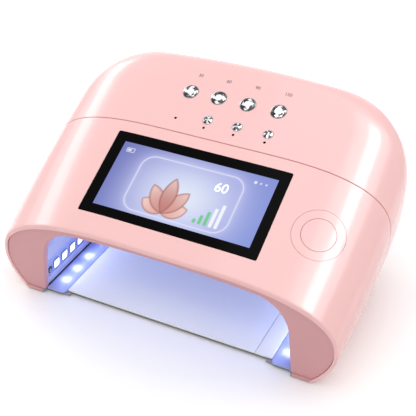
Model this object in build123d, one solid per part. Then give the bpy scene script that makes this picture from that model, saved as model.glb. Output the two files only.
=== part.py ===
from build123d import *
import os
from math import radians, degrees, sin, cos, tan, atan, sqrt

# UV nail lamp: a sloping housing over a hand cavity that is open at the front.
# Working frame: x to the right, y to the rear from the front edge, z up from the table.
# Millimetres. The finished pieces are shifted so that y = 0 is half way front to rear.

# Housing form, driving dimensions
top_slope = 26.58            # degrees that the top rises towards the rear
front_height = 61.4          # height of the top at the front edge
body_depth = 135.7           # front edge to rear wall, at the rear corners
rear_bow = 2.3               # how far the rear wall bows out at its middle
front_half_width = 114.75    # half width of the front edge at its widest level
side_flare = 0.0972          # the sides open towards the rear, mm per mm
side_return = 0.000636       # and bow back in, mm per square mm
waist_height = 26.6          # level of the widest line at the front edge
waist_rise = 0.438           # that line climbs towards the rear, mm per mm
shoulder_width = 87.1        # width of the rounded shoulder, seen from above
shoulder_power = 2.48        # fullness of the shoulder curve, 2 is an ellipse
shoulder_power_rise = 0.0051
corner_radius = 34.2         # rear corners, seen from above
corner_tightening = 0.225    # the corners get tighter as the shoulder closes in
rear_round_depth = 12.9      # rounding between the top and the rear wall
rear_round_height = 14.1
foot_tuck = 14.7             # how far the side tucks in from the widest line to the table
foot_tuck_rise = 0.02
foot_tuck_power = 1.88
rear_foot_tuck = 5.0
wall = 2.4                   # wall of the housing
front_rim_bevel = 0.8        # bevel of the front edge
foot_gap = 0.8               # the housing clears the table by this much
seam_y = 75.4                # seam between front shell and rear shell
seam_gap = 0.4
fit_gap = 0.2                # usual clearance between fixed pieces
face_gap = 0.05              # clearance between faces that lie on each other

# Hand cavity
arch_half_width = 87.2       # at the table
arch_lean = 0.1              # the side walls lean in, mm per mm of height
arch_height = 55.6           # at the middle
arch_shoulder = 51.6         # height where wall and ceiling would meet without the corner
arch_corner = 24.0
cavity_depth = 115.0         # front edge to the back panel
liner_step = 0.6             # the liner lies this far behind the edge of the fascia
liner_wall = 2.0
liner_front = 5.2
liner_seat = 0.15            # what stands on the liner clears its roof by this much

# Front fascia
fascia_recess = 0.8
fascia_thickness = 2.4
fascia_return_end = 5.0
fascia_return_wall = 2.0
fascia_edge_round = 1.2
fascia_gap = 0.3

# Base
cover_top = 3.0
ledge_top = 1.6
ledge_reach = 3.2            # how far the ledge reaches under the floor plate
ledge_front = 4.5
base_rear_y = cavity_depth + 7.8             # line of the rear screws and feet
screw_points = [(arch_half_width + 7.8, 13.0), (50.0, base_rear_y)]
screw_shank = 1.4
screw_head = 2.9
screw_head_height = 1.3
screw_tip = 15.0
boss_radius = screw_shank + 1.8
boss_height = screw_tip + 7.0
pad_size = (6.0, 16.0)
pad_height = 1.5
pad_points = [(arch_half_width + 5.8, 32.0), (22.0, base_rear_y)]

# Floor plate and rails
plate_thickness = 1.2
plate_front = 6.8
plate_joint = 0.3
plate_lift = 0.1             # running clearance over the ledge
rail_width = 13.4
rail_outer = arch_half_width - 0.6
rail_inner = rail_outer - rail_width
rail_front = 3.2
rail_corner = 3.0
plate_half_width = rail_inner - plate_joint
strip_width = 11.7
plate_split = plate_half_width - strip_width # joint between the plate and its narrow side strip
magnet_size = (14.0, 2.2, 1.2)
plate_rear = cavity_depth - magnet_size[1] - 2 * plate_joint
magnet_points = [sign * (plate_half_width - inward) for sign in (-1, 1) for inward in (12.9, 47.9)]

# Light boards and LED chips
board_thickness = 1.6
side_board_front = liner_front + 1.2
side_board_rear = cavity_depth - 3.6
side_board_low = 9.5
side_board_high = 23.3
side_board_depth = 0.4       # how far the board lies behind the wall of the liner
chip_size = (6.4, 6.6)
chip_thickness = 0.9
chip_first_y = 15.6
chip_pitch = 9.45
chip_count = int((side_board_rear - chip_first_y - chip_size[0] / 2) / chip_pitch) + 1
chip_height = 15.0
sensor_y = 8.3
sensor_height = 14.2
sensor_size = (3.0, 4.0, 1.0)
ceiling_board_y = 58.0
ceiling_row_offset = 19.0
ceiling_rows = [ceiling_board_y - ceiling_row_offset, ceiling_board_y + ceiling_row_offset]
ceiling_window = (2 * (arch_half_width - arch_corner - 1.2), 9.0)
ceiling_board_size = (ceiling_window[0] + 22.0, 2 * ceiling_row_offset + 18.0)
ceiling_board_low = arch_height + liner_step + liner_wall + liner_seat
ceiling_chip_pitch = 14.0
ceiling_chip_count = int((ceiling_window[0] - chip_size[0]) / ceiling_chip_pitch) + 1
ceiling_chip_thickness = 1.4
camera_y = ceiling_board_y
camera_radius = 3.2
camera_window_radius = 5.0

# Display
display_x = -2.95            # middle of the display, across the lamp
display_s = 45.05            # middle of the display, up the slope from the front edge
display_size = (120.5, 61.1)
display_corner = 1.0
panel_borders = (4.25, 3.55) # black border of the glass, at its sides and at its ends
panel_size = (display_size[0] - 2 * panel_borders[0], display_size[1] - 2 * panel_borders[1])
panel_top = wall + 1.6       # depth of the display panel below the top of the housing
panel_thickness = 2.1
frame_flange = 2.5           # the frame reaches this far under the shell
frame_ledge = 0.85
frame_lip = 3.0              # the frame's ledge reaches this far under the panel
frame_bottom = panel_top + panel_thickness + face_gap + frame_ledge

# Gem buttons: columns across the lamp, rows up the slope
gem_columns = [-29.8, -9.6, 10.8, 31.9]
large_gem_s = 116.2
small_gem_s = 98.1
large_gem_radius = 5.3
small_gem_radius = 3.3
gem_clearance = 0.15
gem_travel = 0.6
gem_flange = 1.0             # the flange under the shell is wider than the stone by this much
gem_flange_thickness = 0.9
plunger_size = (3.2, 1.1)    # each bar of the cross-shaped plunger
switch_size = (6.0, 6.0, 2.0)
switch_post = 0.05           # what is left between plunger and switch at full travel
button_board_x = 1.0
button_board_s = small_gem_s + 6.9
button_board_size = (90.0, 37.0)
button_board_top = wall + 5.7                # depth of the switch board below the top
board_post = 4.0             # square posts that carry the switch board

# Indicator lenses
lens_radius = 0.8
lens_flange = 2.8
lens_stem = 1.1              # square light guide from the lens to the switch board
lens_length = button_board_top - 0.2
lens_points = [(gem_columns[0] - 1.2, small_gem_s - 3.9), (gem_columns[1] - 0.3, small_gem_s - 6.2),
               (gem_columns[2] - 0.2, small_gem_s - 6.2), (gem_columns[3], small_gem_s - 6.2)]

# Round button on the right shoulder
round_x = 84.9
round_s = 44.5
ring_radius = 16.0
ring_inner_radius = 10.6
cap_radius = ring_inner_radius - 0.3
ring_thickness = wall + 1.3
ring_flange_radius = ring_radius + 2.4
cap_flange_radius = cap_radius + 1.7
round_travel = 1.0
round_plunger_end = ring_thickness + 4.0
round_post_circle = ring_flange_radius + 2.1
round_post = 2.8             # square posts that carry the round switch board
round_board_radius = round_post_circle + 2.0

# Electronics
main_board_size = (120.0, 28.0)
main_board_y = cavity_depth - 15.5
main_board_low = ceiling_board_low + 5.65
main_post = 4.4              # square posts that carry the main board
cell_radius = 9.1
cell_length = 65.0
cell_z = 24.0
cell_x = arch_half_width + liner_step + liner_wall - arch_lean * cell_z + 1.1 + cell_radius
cell_front = 26.0
saddle_width = 4.0
jack_x = -72.0
jack_z = 72.0
jack_body = (9.0, 13.0, 10.0)
jack_nose_radius = 4.5
jack_bore_radius = 2.85
jack_bore_length = 9.5
speaker_x = 54.0
speaker_z = 88.0
speaker_radius = 14.0
speaker_frame = 4.6
speaker_magnet_radius = 8.0
speaker_magnet = 4.0
slot_count = 5
slot_pitch = 4.0
slot_width = 1.6
slot_length = 20.0

slope = radians(top_slope)
overall_depth = body_depth + rear_bow
far = 400.0                  # larger than the lamp, for cutting blocks


def half_width(y):
    return front_half_width + side_flare * y - side_return * y * y


def waist(y):
    return waist_height + waist_rise * y


def top_height(y):
    return front_height + y * tan(slope)


# Housing form: level rings around the lamp, lofted into walls

def mirrored(points):
    return [(-x, y, z) for x, y, z in reversed(points)]


def ring_face(side_at, rear_inset, corner, height_at, start, inset):
    """One level of the housing: open front, flared sides, round corners, bowed rear."""
    def half(y):
        return half_width(y) - inset - side_at(y)

    def lean(y):
        return (half(y + 0.05) - half(y - 0.05)) / 0.1

    def lifted(points):
        return [(x, y, height_at(y)) for x, y in points]

    corner_y = body_depth - inset - rear_inset - corner
    run = corner_y - start
    side_front = (half(start), start)
    side_rear = (half(corner_y), corner_y)
    rear_x = side_rear[0] - corner
    rear_y = corner_y + corner
    handle = 0.5523 * corner
    bow_handle = rear_bow / 0.75
    bow_lean = bow_handle / (rear_x * 2 / 3)
    side = lifted([side_front,
                   (side_front[0] + lean(start) * run / 3, start + run / 3),
                   (side_rear[0] - lean(corner_y) * run / 3, corner_y - run / 3),
                   side_rear])
    bend = lifted([side_rear,
                   (side_rear[0] + lean(corner_y) * handle, corner_y + handle),
                   (rear_x + handle, rear_y - bow_lean * handle),
                   (rear_x, rear_y)])
    rear = lifted([(rear_x, rear_y), (rear_x / 3, rear_y + bow_handle),
                   (-rear_x / 3, rear_y + bow_handle), (-rear_x, rear_y)])
    edges = [Bezier(*side), Bezier(*bend), Bezier(*rear),
             Bezier(*mirrored(bend)), Bezier(*mirrored(side)),
             Line(mirrored(side)[-1], side[0])]
    return Face(Wire(edges))


def upper_ring(level, inset, start):
    """Ring between the widest line (level 0) and the top (level 1)."""
    def side_at(y):
        power = shoulder_power + shoulder_power_rise * y
        return shoulder_width * (1 - (1 - level**power)**(1 / power))

    def height_at(y):
        top = top_height(y) - inset / cos(slope)
        return waist(y) * (1 - level) + top * level

    below_top = (1 - level) * (top_height(body_depth) - waist(body_depth))
    climb = max(0.0, 1 - below_top / (rear_round_height - inset))
    rear_inset = (rear_round_depth - inset) * (1 - sqrt(1 - climb * climb))
    corner = corner_radius - inset - corner_tightening * side_at(body_depth - corner_radius)
    return ring_face(side_at, rear_inset, corner, height_at, start, inset)


def lower_ring(level, inset, start):
    """Ring between the table (level 0) and the widest line (level 1)."""
    def side_at(y):
        return (foot_tuck + foot_tuck_rise * y) * (1 - level)**foot_tuck_power

    rear_inset = rear_foot_tuck * (1 - level)**foot_tuck_power
    return ring_face(side_at, rear_inset, corner_radius - inset,
                     lambda y: waist(y) * level, start, inset)


# Levels of the rings. The outer face has close rings; the inner faces need fewer.
def shoulder_levels(angles):
    return [sin(radians(angle))**0.74 for angle in angles]


outer_upper_levels = shoulder_levels((0, 7, 14, 21, 28, 35, 42, 49, 56, 62, 68, 73, 78, 82, 86, 90))
inner_upper_levels = shoulder_levels((0, 12, 24, 36, 47, 57, 66, 74, 82, 90))
outer_lower_levels = [0.0, 0.1, 0.22, 0.36, 0.54, 0.76, 1.0]
inner_lower_levels = [-0.05, 0.16, 0.4, 0.68, 1.0]
made_forms = {}


def upper_form(inset):
    """Solid inside the upper wall, drawn in by inset. Inner forms run out of the front."""
    if ("upper", inset) not in made_forms:
        start, levels = (0.0, outer_upper_levels) if inset == 0 else (-1.0, inner_upper_levels)
        rings = [upper_ring(level, inset, start) for level in levels]
        made_forms["upper", inset] = loft(rings, ruled=True)
    return made_forms["upper", inset]


def lower_form(inset):
    """Solid inside the lower wall. Inner forms run out of the front and the bottom."""
    if ("lower", inset) not in made_forms:
        start, levels = (0.0, outer_lower_levels) if inset == 0 else (-1.0, inner_lower_levels)
        rings = [lower_ring(level, inset, start) for level in levels]
        made_forms["lower", inset] = loft(rings, ruled=True)
    return made_forms["lower", inset]


def whole_form(inset):
    return upper_form(inset) + lower_form(inset)


def upper_skin(outer_inset, inner_inset):
    return upper_form(outer_inset) - upper_form(inner_inset)


# Small helpers

def block(x0, x1, y0, y1, z0, z1):
    return Pos((x0 + x1) / 2, (y0 + y1) / 2, (z0 + z1) / 2) * Box(x1 - x0, y1 - y0, z1 - z0)


def rod(x, y, z0, z1, radius):
    return Pos(x, y, (z0 + z1) / 2) * Cylinder(radius, z1 - z0)


def rod_y(x, z, y0, y1, radius):
    return Pos(x, (y0 + y1) / 2, z) * Rot(90, 0, 0) * Cylinder(radius, y1 - y0)


def both_sides(shape):
    return shape + mirror(shape, about=Plane.YZ)


def left_of(shape):
    return mirror(shape, about=Plane.YZ)


# The top of the housing: local x across, local y up the slope, local z out of the top
top_plane = Plane(origin=(0, 0, front_height), x_dir=(1, 0, 0),
                  z_dir=(0, -sin(slope), cos(slope)))


def on_top(x, s, shape):
    return top_plane * Pos(x, s, 0) * shape


def slab(width, length, depth0, depth1, corner=0.0):
    """Flat block in the frame of the top, from depth0 down to depth1."""
    outline = RectangleRounded(width, length, corner) if corner else Rectangle(width, length)
    return Pos(0, 0, -depth1) * extrude(outline, amount=depth1 - depth0)


def pin(radius, depth0, depth1):
    """Round block square to the top, from depth0 down to depth1."""
    return Pos(0, 0, -(depth0 + depth1) / 2) * Cylinder(radius, depth1 - depth0)


# Hand cavity outline

def arch_face(grow):
    """Outline of the hand opening, grown outwards, in the plane of the front edge."""
    foot = arch_half_width + grow
    corner_z = arch_shoulder + grow
    corner_x = foot - arch_lean * corner_z
    bottom = -5.0
    bottom_x = foot - arch_lean * bottom
    roof = ThreePointArc((corner_x, corner_z), (0, arch_height + grow), (-corner_x, corner_z))
    outline = Polyline((-corner_x, corner_z), (-bottom_x, bottom),
                       (bottom_x, bottom), (corner_x, corner_z))
    face = make_face(roof + outline)
    corners = [v for v in face.vertices() if v.Y > 0]
    return fillet(corners, arch_corner + grow)


def arch_solid(grow, y0, y1):
    sketch = Plane(origin=(0, y1, 0), x_dir=(1, 0, 0), z_dir=(0, -1, 0)) * arch_face(grow)
    return extrude(sketch, amount=y1 - y0)


above_cover = block(-far, far, -far, far, cover_top + fit_gap, far)

# Round button frame: square to the shoulder where the button sits


def shoulder_height(x, y):
    power = shoulder_power + shoulder_power_rise * y
    inward = max(0.0, (x - half_width(y) + shoulder_width) / shoulder_width)
    level = (1 - inward**power)**(1 / power)
    return waist(y) * (1 - level) + top_height(y) * level


round_y = round_s * cos(slope)
round_z = shoulder_height(round_x, round_y)
fall_x = shoulder_height(round_x - 1, round_y) - shoulder_height(round_x + 1, round_y)
fall_y = shoulder_height(round_x, round_y - 1) - shoulder_height(round_x, round_y + 1)
round_plane = Plane(origin=(round_x, round_y, round_z), x_dir=(1, 0, -fall_x / 2),
                    z_dir=(fall_x / 2, fall_y / 2, 1))


def round_rod(radius, depth0, depth1):
    return round_plane * pin(radius, depth0, depth1)


def round_tube(outer, inner, depth0, depth1):
    return round_rod(outer, depth0, depth1) - round_rod(inner, depth0 - 1, depth1 + 1)


skin_reach = 12.0            # the round button's forms are cut within this of the surface

# Gem buttons


def gem_stone(radius, height, sides):
    """Cut stone: girdle, row of facets and flat table, as the hull of its corners."""
    girdle = 0.45
    corners = []
    for count, share, level, turn in ((2 * sides, 1.0, 0.1, 0.0), (2 * sides, 1.0, girdle, 0.0),
                                      (sides, 0.82, girdle + 0.5 * height, 0.5),
                                      (sides, 0.56, girdle + height, 0.0)):
        for i in range(count):
            angle = radians(360 * (i + turn) / count)
            corners.append((share * radius * cos(angle), share * radius * sin(angle), level))
    return ConvexPolyhedron(corners)


def gem_button(radius, height, sides):
    """Stone on a round body, with a flange under the shell and a plunger to its switch."""
    switch_top = button_board_top - switch_size[2]
    plunger_end = switch_top - gem_travel - switch_post
    flange_top = wall + 0.3
    flange_end = flange_top + gem_flange_thickness
    flange_width = 2 * (radius + gem_flange)
    button = gem_stone(radius, height, sides) + pin(radius + gem_clearance - 0.1, -0.2, flange_end - 0.2)
    button += slab(flange_width, flange_width, flange_top, flange_end)
    long, short = plunger_size
    button += slab(long, short, flange_end - 0.1, plunger_end)
    button += slab(short, long, flange_end - 0.1, plunger_end)
    return button


def large_gem_button():
    return gem_button(large_gem_radius, 2.3, 8)


def small_gem_button():
    return gem_button(small_gem_radius, 1.5, 6)


large_gems = [(x, large_gem_s) for x in gem_columns]
small_gems = [(x, small_gem_s) for x in gem_columns[1:]]


# Housing shells

def joint_tabs():
    """Five tabs on the rear shell that slide inside the front shell and keep the seam flush."""
    lap = 3.2
    step = seam_y + seam_gap / 2 + 0.05
    tab = upper_skin(wall + 0.15, wall + 1.4) & block(-far, far, seam_y - lap, step, 0, far)
    root = upper_skin(wall - 0.8, wall + 1.4) & block(-far, far, step, step + lap, 0, far)
    low, high = waist(seam_y) + 2, waist(seam_y) + 16
    side = half_width(seam_y)
    places = block(-14, 14, 0, far, high, far)
    places += both_sides(block(side - 56, side - 40, 0, far, high, far))
    places += both_sides(block(side - 20, far, 0, far, low, high))
    return (tab + root) & places


def screw_boss(x, y):
    """Boss for a base screw, with a rib that ties it to the wall of the shell."""
    post = rod(x, y, cover_top + fit_gap, boss_height, boss_radius)
    if y < cavity_depth:
        rib = block(x, half_width(y), y - 0.9, y + 0.9, cover_top + fit_gap, boss_height)
    else:
        rib = block(x - 0.9, x + 0.9, y, overall_depth, cover_top + fit_gap, boss_height)
    return ((post + rib) & lower_form(0.6)) - rod(x, y, 0, screw_tip + 1, screw_shank + 0.1)


def housing():
    skin = upper_skin(0.0, wall) + (lower_form(0.0) - lower_form(wall))
    return skin - block(-far, far, -far, far, -far, foot_gap)


def is_outer_rim(edge, inside):
    """True for the front edges on the outer face, which lie a wall away from the inside."""
    middle = edge.position_at(0.5)
    return abs(middle.Y) < 0.01 and inside.distance_to(Vertex(*middle)) > wall / 2


def front_shell(skin):
    shell = skin & block(-far, far, -1, seam_y - seam_gap / 2, 0, far)
    inside = whole_form(wall)
    rim = [edge for edge in shell.edges() if is_outer_rim(edge, inside)]
    shell = chamfer(rim, front_rim_bevel)
    shell += both_sides(screw_boss(*screw_points[0]))
    width, length = display_size
    shell -= on_top(display_x, display_s, slab(width + 2 * fit_gap, length + 2 * fit_gap,
                                               -20, frame_bottom, display_corner + fit_gap))
    for angle in (45, 135, 225, 315):
        x = round_post_circle * cos(radians(angle))
        y = round_post_circle * sin(radians(angle))
        post = round_plane * Pos(x, y, 0) * slab(round_post, round_post, -skin_reach, round_board_top)
        shell += post & upper_form(wall - 0.8)
    return shell - round_rod(ring_radius + fit_gap, -skin_reach, skin_reach)


def rear_shell(skin):
    shell = skin & block(-far, far, seam_y + seam_gap / 2, far, 0, far)
    shell += joint_tabs()
    for x, y in screw_points[1:]:
        shell += both_sides(screw_boss(x, y))
    corner_x = button_board_size[0] / 2 - 3
    corner_s = button_board_size[1] / 2 - 3
    for x in (-corner_x, corner_x):
        for s in (-corner_s, corner_s):
            post = on_top(button_board_x + x, button_board_s + s,
                          slab(board_post, board_post, wall - 0.8, button_board_top - face_gap))
            shell += post
    for x, s in large_gems:
        shell -= on_top(x, s, pin(large_gem_radius + gem_clearance, -5, wall + 0.25))
    for x, s in small_gems:
        shell -= on_top(x, s, pin(small_gem_radius + gem_clearance, -5, wall + 0.25))
    for x, s in lens_points:
        shell -= on_top(x, s, pin(lens_radius + 0.1, -5, wall + 0.25))
    collar = rod_y(speaker_x, speaker_z, speaker_front - speaker_frame, overall_depth,
                   speaker_radius + 1.6)
    collar -= rod_y(speaker_x, speaker_z, 0, speaker_front + 2, speaker_radius + fit_gap)
    shell += collar & upper_form(0.6)
    for i in range(slot_count):
        z = speaker_z + (i - (slot_count - 1) / 2) * slot_pitch
        outline = Plane(origin=(speaker_x, speaker_front - 1, z), x_dir=(1, 0, 0),
                        z_dir=(0, 1, 0)) * SlotOverall(slot_length, slot_width)
        shell -= extrude(outline, amount=20)
    return shell - rod_y(jack_x, jack_z, jack_shoulder, far, jack_nose_radius + fit_gap)


# Base

def foot_outline(z0, z1):
    """Slab of the underside, inside the walls of the shells."""
    return lower_form(wall + fit_gap) & block(-far, far, 0, far, z0, z1)


def base_cover():
    cover = foot_outline(foot_gap, cover_top)
    cover -= block(-arch_half_width, arch_half_width, -1, cavity_depth, 0, 10)
    ledge = foot_outline(foot_gap, ledge_top) & block(-far, far, ledge_front, cavity_depth + 1,
                                                      0, far)
    inner = plate_half_width - ledge_reach
    ledge -= block(-inner, inner, 0, plate_rear - ledge_reach, 0, 10)
    cover += ledge
    for x, y in screw_points:
        hole = rod(x, y, 0, 10, screw_shank + 0.1)
        hole += rod(x, y, 0, foot_gap + screw_head_height + 0.1, screw_head + 0.1)
        cover -= both_sides(hole)
    for x, y in pad_points:
        cover -= both_sides(foot_pad(x, y, 0.1))
    return cover


def foot_pad(x, y, grow):
    width, length = pad_size if y < cavity_depth else (pad_size[1], pad_size[0])
    outline = RectangleRounded(width + 2 * grow, length + 2 * grow, 2.5 + grow)
    return Pos(x, y, 0) * extrude(outline, amount=pad_height + grow)


def floor_rail():
    side = block(rail_inner, rail_outer, rail_front, cavity_depth - 0.4,
                 ledge_top + face_gap, ledge_top + plate_lift + plate_thickness)
    nose = side.edges().filter_by(Axis.Z).group_by(Axis.Y)[0].sort_by(Axis.X)[0]
    return fillet([nose], rail_corner)


def plate_blank(x0, x1):
    low = ledge_top + plate_lift
    return block(x0, x1, plate_front, plate_rear, low, low + plate_thickness)


def base_screw(x, y):
    head_top = foot_gap + screw_head_height
    return rod(x, y, foot_gap, head_top, screw_head) + rod(x, y, head_top, screw_tip, screw_shank)


# Cavity: fascia, liner, light boards

def rolled_edge():
    """Rim of the hand opening. Its front edge rolls inwards through three outlines."""
    rim = arch_solid(fascia_return_wall, fascia_recess, fascia_return_end)
    rim -= arch_solid(0, fascia_recess + fascia_edge_round - 0.01, 20)
    outlines = []
    for angle in (0, 45, 90):
        y = fascia_recess + fascia_edge_round * (1 - cos(radians(angle)))
        grow = fascia_edge_round * (1 - sin(radians(angle)))
        outlines.append(Plane(origin=(0, y, 0), x_dir=(1, 0, 0), z_dir=(0, -1, 0)) * arch_face(grow))
    return rim - loft(outlines)


def front_fascia():
    face_end = fascia_recess + fascia_thickness
    plate = whole_form(wall + fascia_gap) & block(-far, far, fascia_recess, face_end, 0, far)
    plate -= arch_solid(fascia_return_wall / 2 + 0.4, -1, 20)
    return (plate + rolled_edge()) & above_cover


# The side wall of the liner, right: local x to the rear, local y up, local z outwards
lean_angle = atan(arch_lean)
board_z = (side_board_low + side_board_high) / 2
board_y = (side_board_front + side_board_rear) / 2
board_length = side_board_rear - side_board_front
board_width = side_board_high - side_board_low
wall_x = arch_half_width + liner_step - arch_lean * board_z
right_wall = Plane(origin=(wall_x, board_y, board_z), x_dir=(0, 1, 0),
                   z_dir=(cos(lean_angle), 0, sin(lean_angle)))


def on_wall(y, z, depth0, depth1, width, height):
    """Block on the right wall, between two depths behind the surface of the liner."""
    place = Pos(y - board_y, z - board_z, (depth0 + depth1) / 2)
    return right_wall * place * Box(width, height, depth1 - depth0)


def side_board():
    return on_wall(board_y, board_z, side_board_depth, side_board_depth + board_thickness,
                   board_length, board_width)


def side_chips():
    outer = side_board_depth - face_gap
    return [on_wall(chip_first_y + i * chip_pitch, chip_height, outer - chip_thickness, outer,
                    *chip_size) for i in range(chip_count)]


def hand_sensor():
    width, height, thickness = sensor_size
    outer = side_board_depth - face_gap
    return on_wall(sensor_y, sensor_height, outer - thickness, outer, width, height)


def ceiling_chips():
    chips = []
    for y in ceiling_rows:
        for i in range(ceiling_chip_count):
            x = (i - (ceiling_chip_count - 1) / 2) * ceiling_chip_pitch
            top = ceiling_board_low - face_gap
            chips.append(block(x - chip_size[0] / 2, x + chip_size[0] / 2,
                               y - chip_size[1] / 2, y + chip_size[1] / 2,
                               top - ceiling_chip_thickness, top))
    return chips


def cavity_liner():
    liner = arch_solid(liner_step + liner_wall, liner_front, cavity_depth)
    liner = (liner - arch_solid(liner_step, 0, far)) & above_cover
    window = on_wall(board_y, board_z, -5, 5, board_length + 2 * fit_gap,
                     board_width + 2 * fit_gap)
    liner -= both_sides(window)
    width, length = ceiling_window
    for y in ceiling_rows:
        liner -= block(-width / 2, width / 2, y - length / 2, y + length / 2, arch_height - 5,
                       arch_height + 6)
    liner -= rod(0, camera_y, arch_height - 5, arch_height + 6, camera_window_radius + 0.1)
    for x in (-main_post_x, main_post_x):
        for y in main_post_ys:
            half = main_post / 2
            liner += block(x - half, x + half, y - half, y + half, arch_height + 0.4,
                           main_board_low - face_gap)
    return liner


def cavity_back_panel():
    panel = arch_solid(liner_step + liner_wall, cavity_depth + 0.1, cavity_depth + 2.1)
    return panel & above_cover


def ceiling_board():
    width, length = ceiling_board_size
    low = ceiling_board_low
    board = block(-width / 2, width / 2, ceiling_board_y - length / 2,
                  ceiling_board_y + length / 2, low, low + board_thickness)
    return board - rod(0, camera_y, low - 1, low + 3, camera_radius + 0.2)


def camera_module():
    seat = ceiling_board_low + board_thickness + face_gap
    housing_block = block(-4.5, 4.5, camera_y - 4.5, camera_y + 4.5, seat, seat + 4)
    return housing_block + rod(0, camera_y, ceiling_board_low - 0.6, seat + 1, camera_radius)


def camera_window():
    low = arch_height + liner_step + 0.3
    return rod(0, camera_y, low, low + 1.0, camera_window_radius)


# Display

def display_glass():
    lens = on_top(display_x, display_s, slab(*display_size, -20, frame_bottom, display_corner))
    return upper_skin(0.0, wall) & lens


def display_panel():
    return on_top(display_x, display_s, slab(*panel_size, panel_top, panel_top + panel_thickness))


def display_frame():
    width = display_size[0] + 2 * frame_flange
    length = display_size[1] + 2 * frame_flange
    frame = slab(width, length, -20, frame_bottom)
    pocket_bottom = panel_top + panel_thickness + face_gap
    frame -= slab(panel_size[0] + 0.4, panel_size[1] + 0.4, -30, pocket_bottom)
    frame -= slab(panel_size[0] - 2 * frame_lip, panel_size[1] - 2 * frame_lip, -30,
                  frame_bottom + 1)
    return on_top(display_x, display_s, frame) & upper_form(wall + 0.15)


# Switch board under the gems

def gem_switches():
    width, length, height = switch_size
    body = slab(width, length, button_board_top - height, button_board_top - face_gap)
    return [on_top(x, s, body) for x, s in large_gems + small_gems]


def indicator_lens():
    """Round lens in the shell, square flange under it and a square light guide."""
    lens = pin(lens_radius, -0.05, wall + 0.5) + slab(lens_flange, lens_flange, wall + 0.3, wall + 1.1)
    return lens + slab(lens_stem, lens_stem, wall + 1.0, lens_length)


# Round button pieces

def round_ring():
    tube = round_tube(ring_radius, ring_inner_radius, -skin_reach, skin_reach)
    flange = round_tube(ring_flange_radius, ring_radius - 0.6, -skin_reach, skin_reach)
    ring = upper_skin(0.0, ring_thickness) & tube
    return ring + (upper_skin(wall + 0.15, ring_thickness) & flange)


def round_cap():
    cap = upper_skin(0.0, wall) & round_rod(cap_radius, -skin_reach, skin_reach)
    hub = round_rod(cap_radius - 0.5, -skin_reach, skin_reach)
    flange = round_rod(cap_flange_radius, -skin_reach, skin_reach)
    underside = ring_thickness + 1.4
    cap += upper_skin(wall - 0.4, underside) & hub
    cap += upper_skin(ring_thickness + 0.25, underside) & flange
    return cap + round_rod(2.5, underside - 1, round_plunger_end)


round_switch_top = round_plunger_end + round_travel + switch_post
round_board_top = round_switch_top + switch_size[2]


def round_switch():
    width, length, height = switch_size
    body = round_plane * slab(width, length, round_switch_top, round_board_top - face_gap)
    return body


def round_board():
    return round_rod(round_board_radius, round_board_top + face_gap,
                     round_board_top + face_gap + 1.2)


# Electronics in the rear

main_post_x = main_board_size[0] / 2 - 6
main_post_ys = (main_board_y - main_board_size[1] / 2 + 3.5,
                main_board_y + main_board_size[1] / 2 - 3.5)


def main_board():
    width, length = main_board_size
    return block(-width / 2, width / 2, main_board_y - length / 2, main_board_y + length / 2,
                 main_board_low, main_board_low + board_thickness)


def main_board_parts():
    seat = main_board_low + board_thickness + face_gap
    parts = []
    for x, y, width, length, height in ((0, 0, 14, 14, 1.4), (18, 1, 9, 7, 1.2),
                                        (-20, -8, 12, 5, 4.5), (-38, -8, 12, 5, 4.5),
                                        (38, -8, 12, 5, 4.5), (-30, 6, 9, 9, 4.0)):
        parts.append(block(x - width / 2, x + width / 2, main_board_y + y - length / 2,
                           main_board_y + y + length / 2, seat, seat + height))
    for x in (30, 39):
        parts.append(rod(x, main_board_y + 6, seat, seat + 8, 3.2))
    return parts


def battery_cell():
    cell = rod_y(cell_x, cell_z, cell_front, cell_front + cell_length, cell_radius)
    return cell + rod_y(cell_x, cell_z, cell_front - 1.0, cell_front + 0.1, 3.0)


def battery_cradle():
    saddles = [block(cell_x - 7.4, half_width(y), y, y + saddle_width, cover_top + face_gap, cell_z)
               for y in (cell_front + 7, cell_front + cell_length - 11)]
    strip = block(cell_x - 7.4, cell_x - 1.5, cell_front + 7, cell_front + cell_length - 7,
                  cover_top + face_gap, cover_top + 2)
    cradle = (saddles[0] + saddles[1] + strip) & lower_form(wall + 0.3)
    return cradle - rod_y(cell_x, cell_z, 0, far, cell_radius + 0.15)


rear_inner = body_depth - wall
speaker_front = rear_inner - 0.3
jack_shoulder = rear_inner - 0.6


def speaker():
    back = speaker_front - speaker_frame
    frame = rod_y(speaker_x, speaker_z, back, speaker_front, speaker_radius)
    return frame + rod_y(speaker_x, speaker_z, back - speaker_magnet, back + 0.5,
                         speaker_magnet_radius)


jack_end = body_depth + 0.9


def dc_jack():
    width, length, height = jack_body
    body = block(jack_x - width / 2, jack_x + width / 2, jack_shoulder - length, jack_shoulder,
                 jack_z - height / 2, jack_z + height / 2)
    body += rod_y(jack_x, jack_z, jack_shoulder - 1, jack_end, jack_nose_radius)
    return body - rod_y(jack_x, jack_z, jack_end - jack_bore_length, jack_end + 5,
                        jack_bore_radius)


# Writing the pieces

def write(name, *solids):
    """One file per piece. A group of identical pieces is one file of separate solids."""
    placed = [Pos(0, -overall_depth / 2, 0) * part for solid in solids for part in solid.solids()]
    shape = placed[0] if len(placed) == 1 else Compound(children=placed)
    export_step(shape, f"parts/{name}.step")


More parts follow.
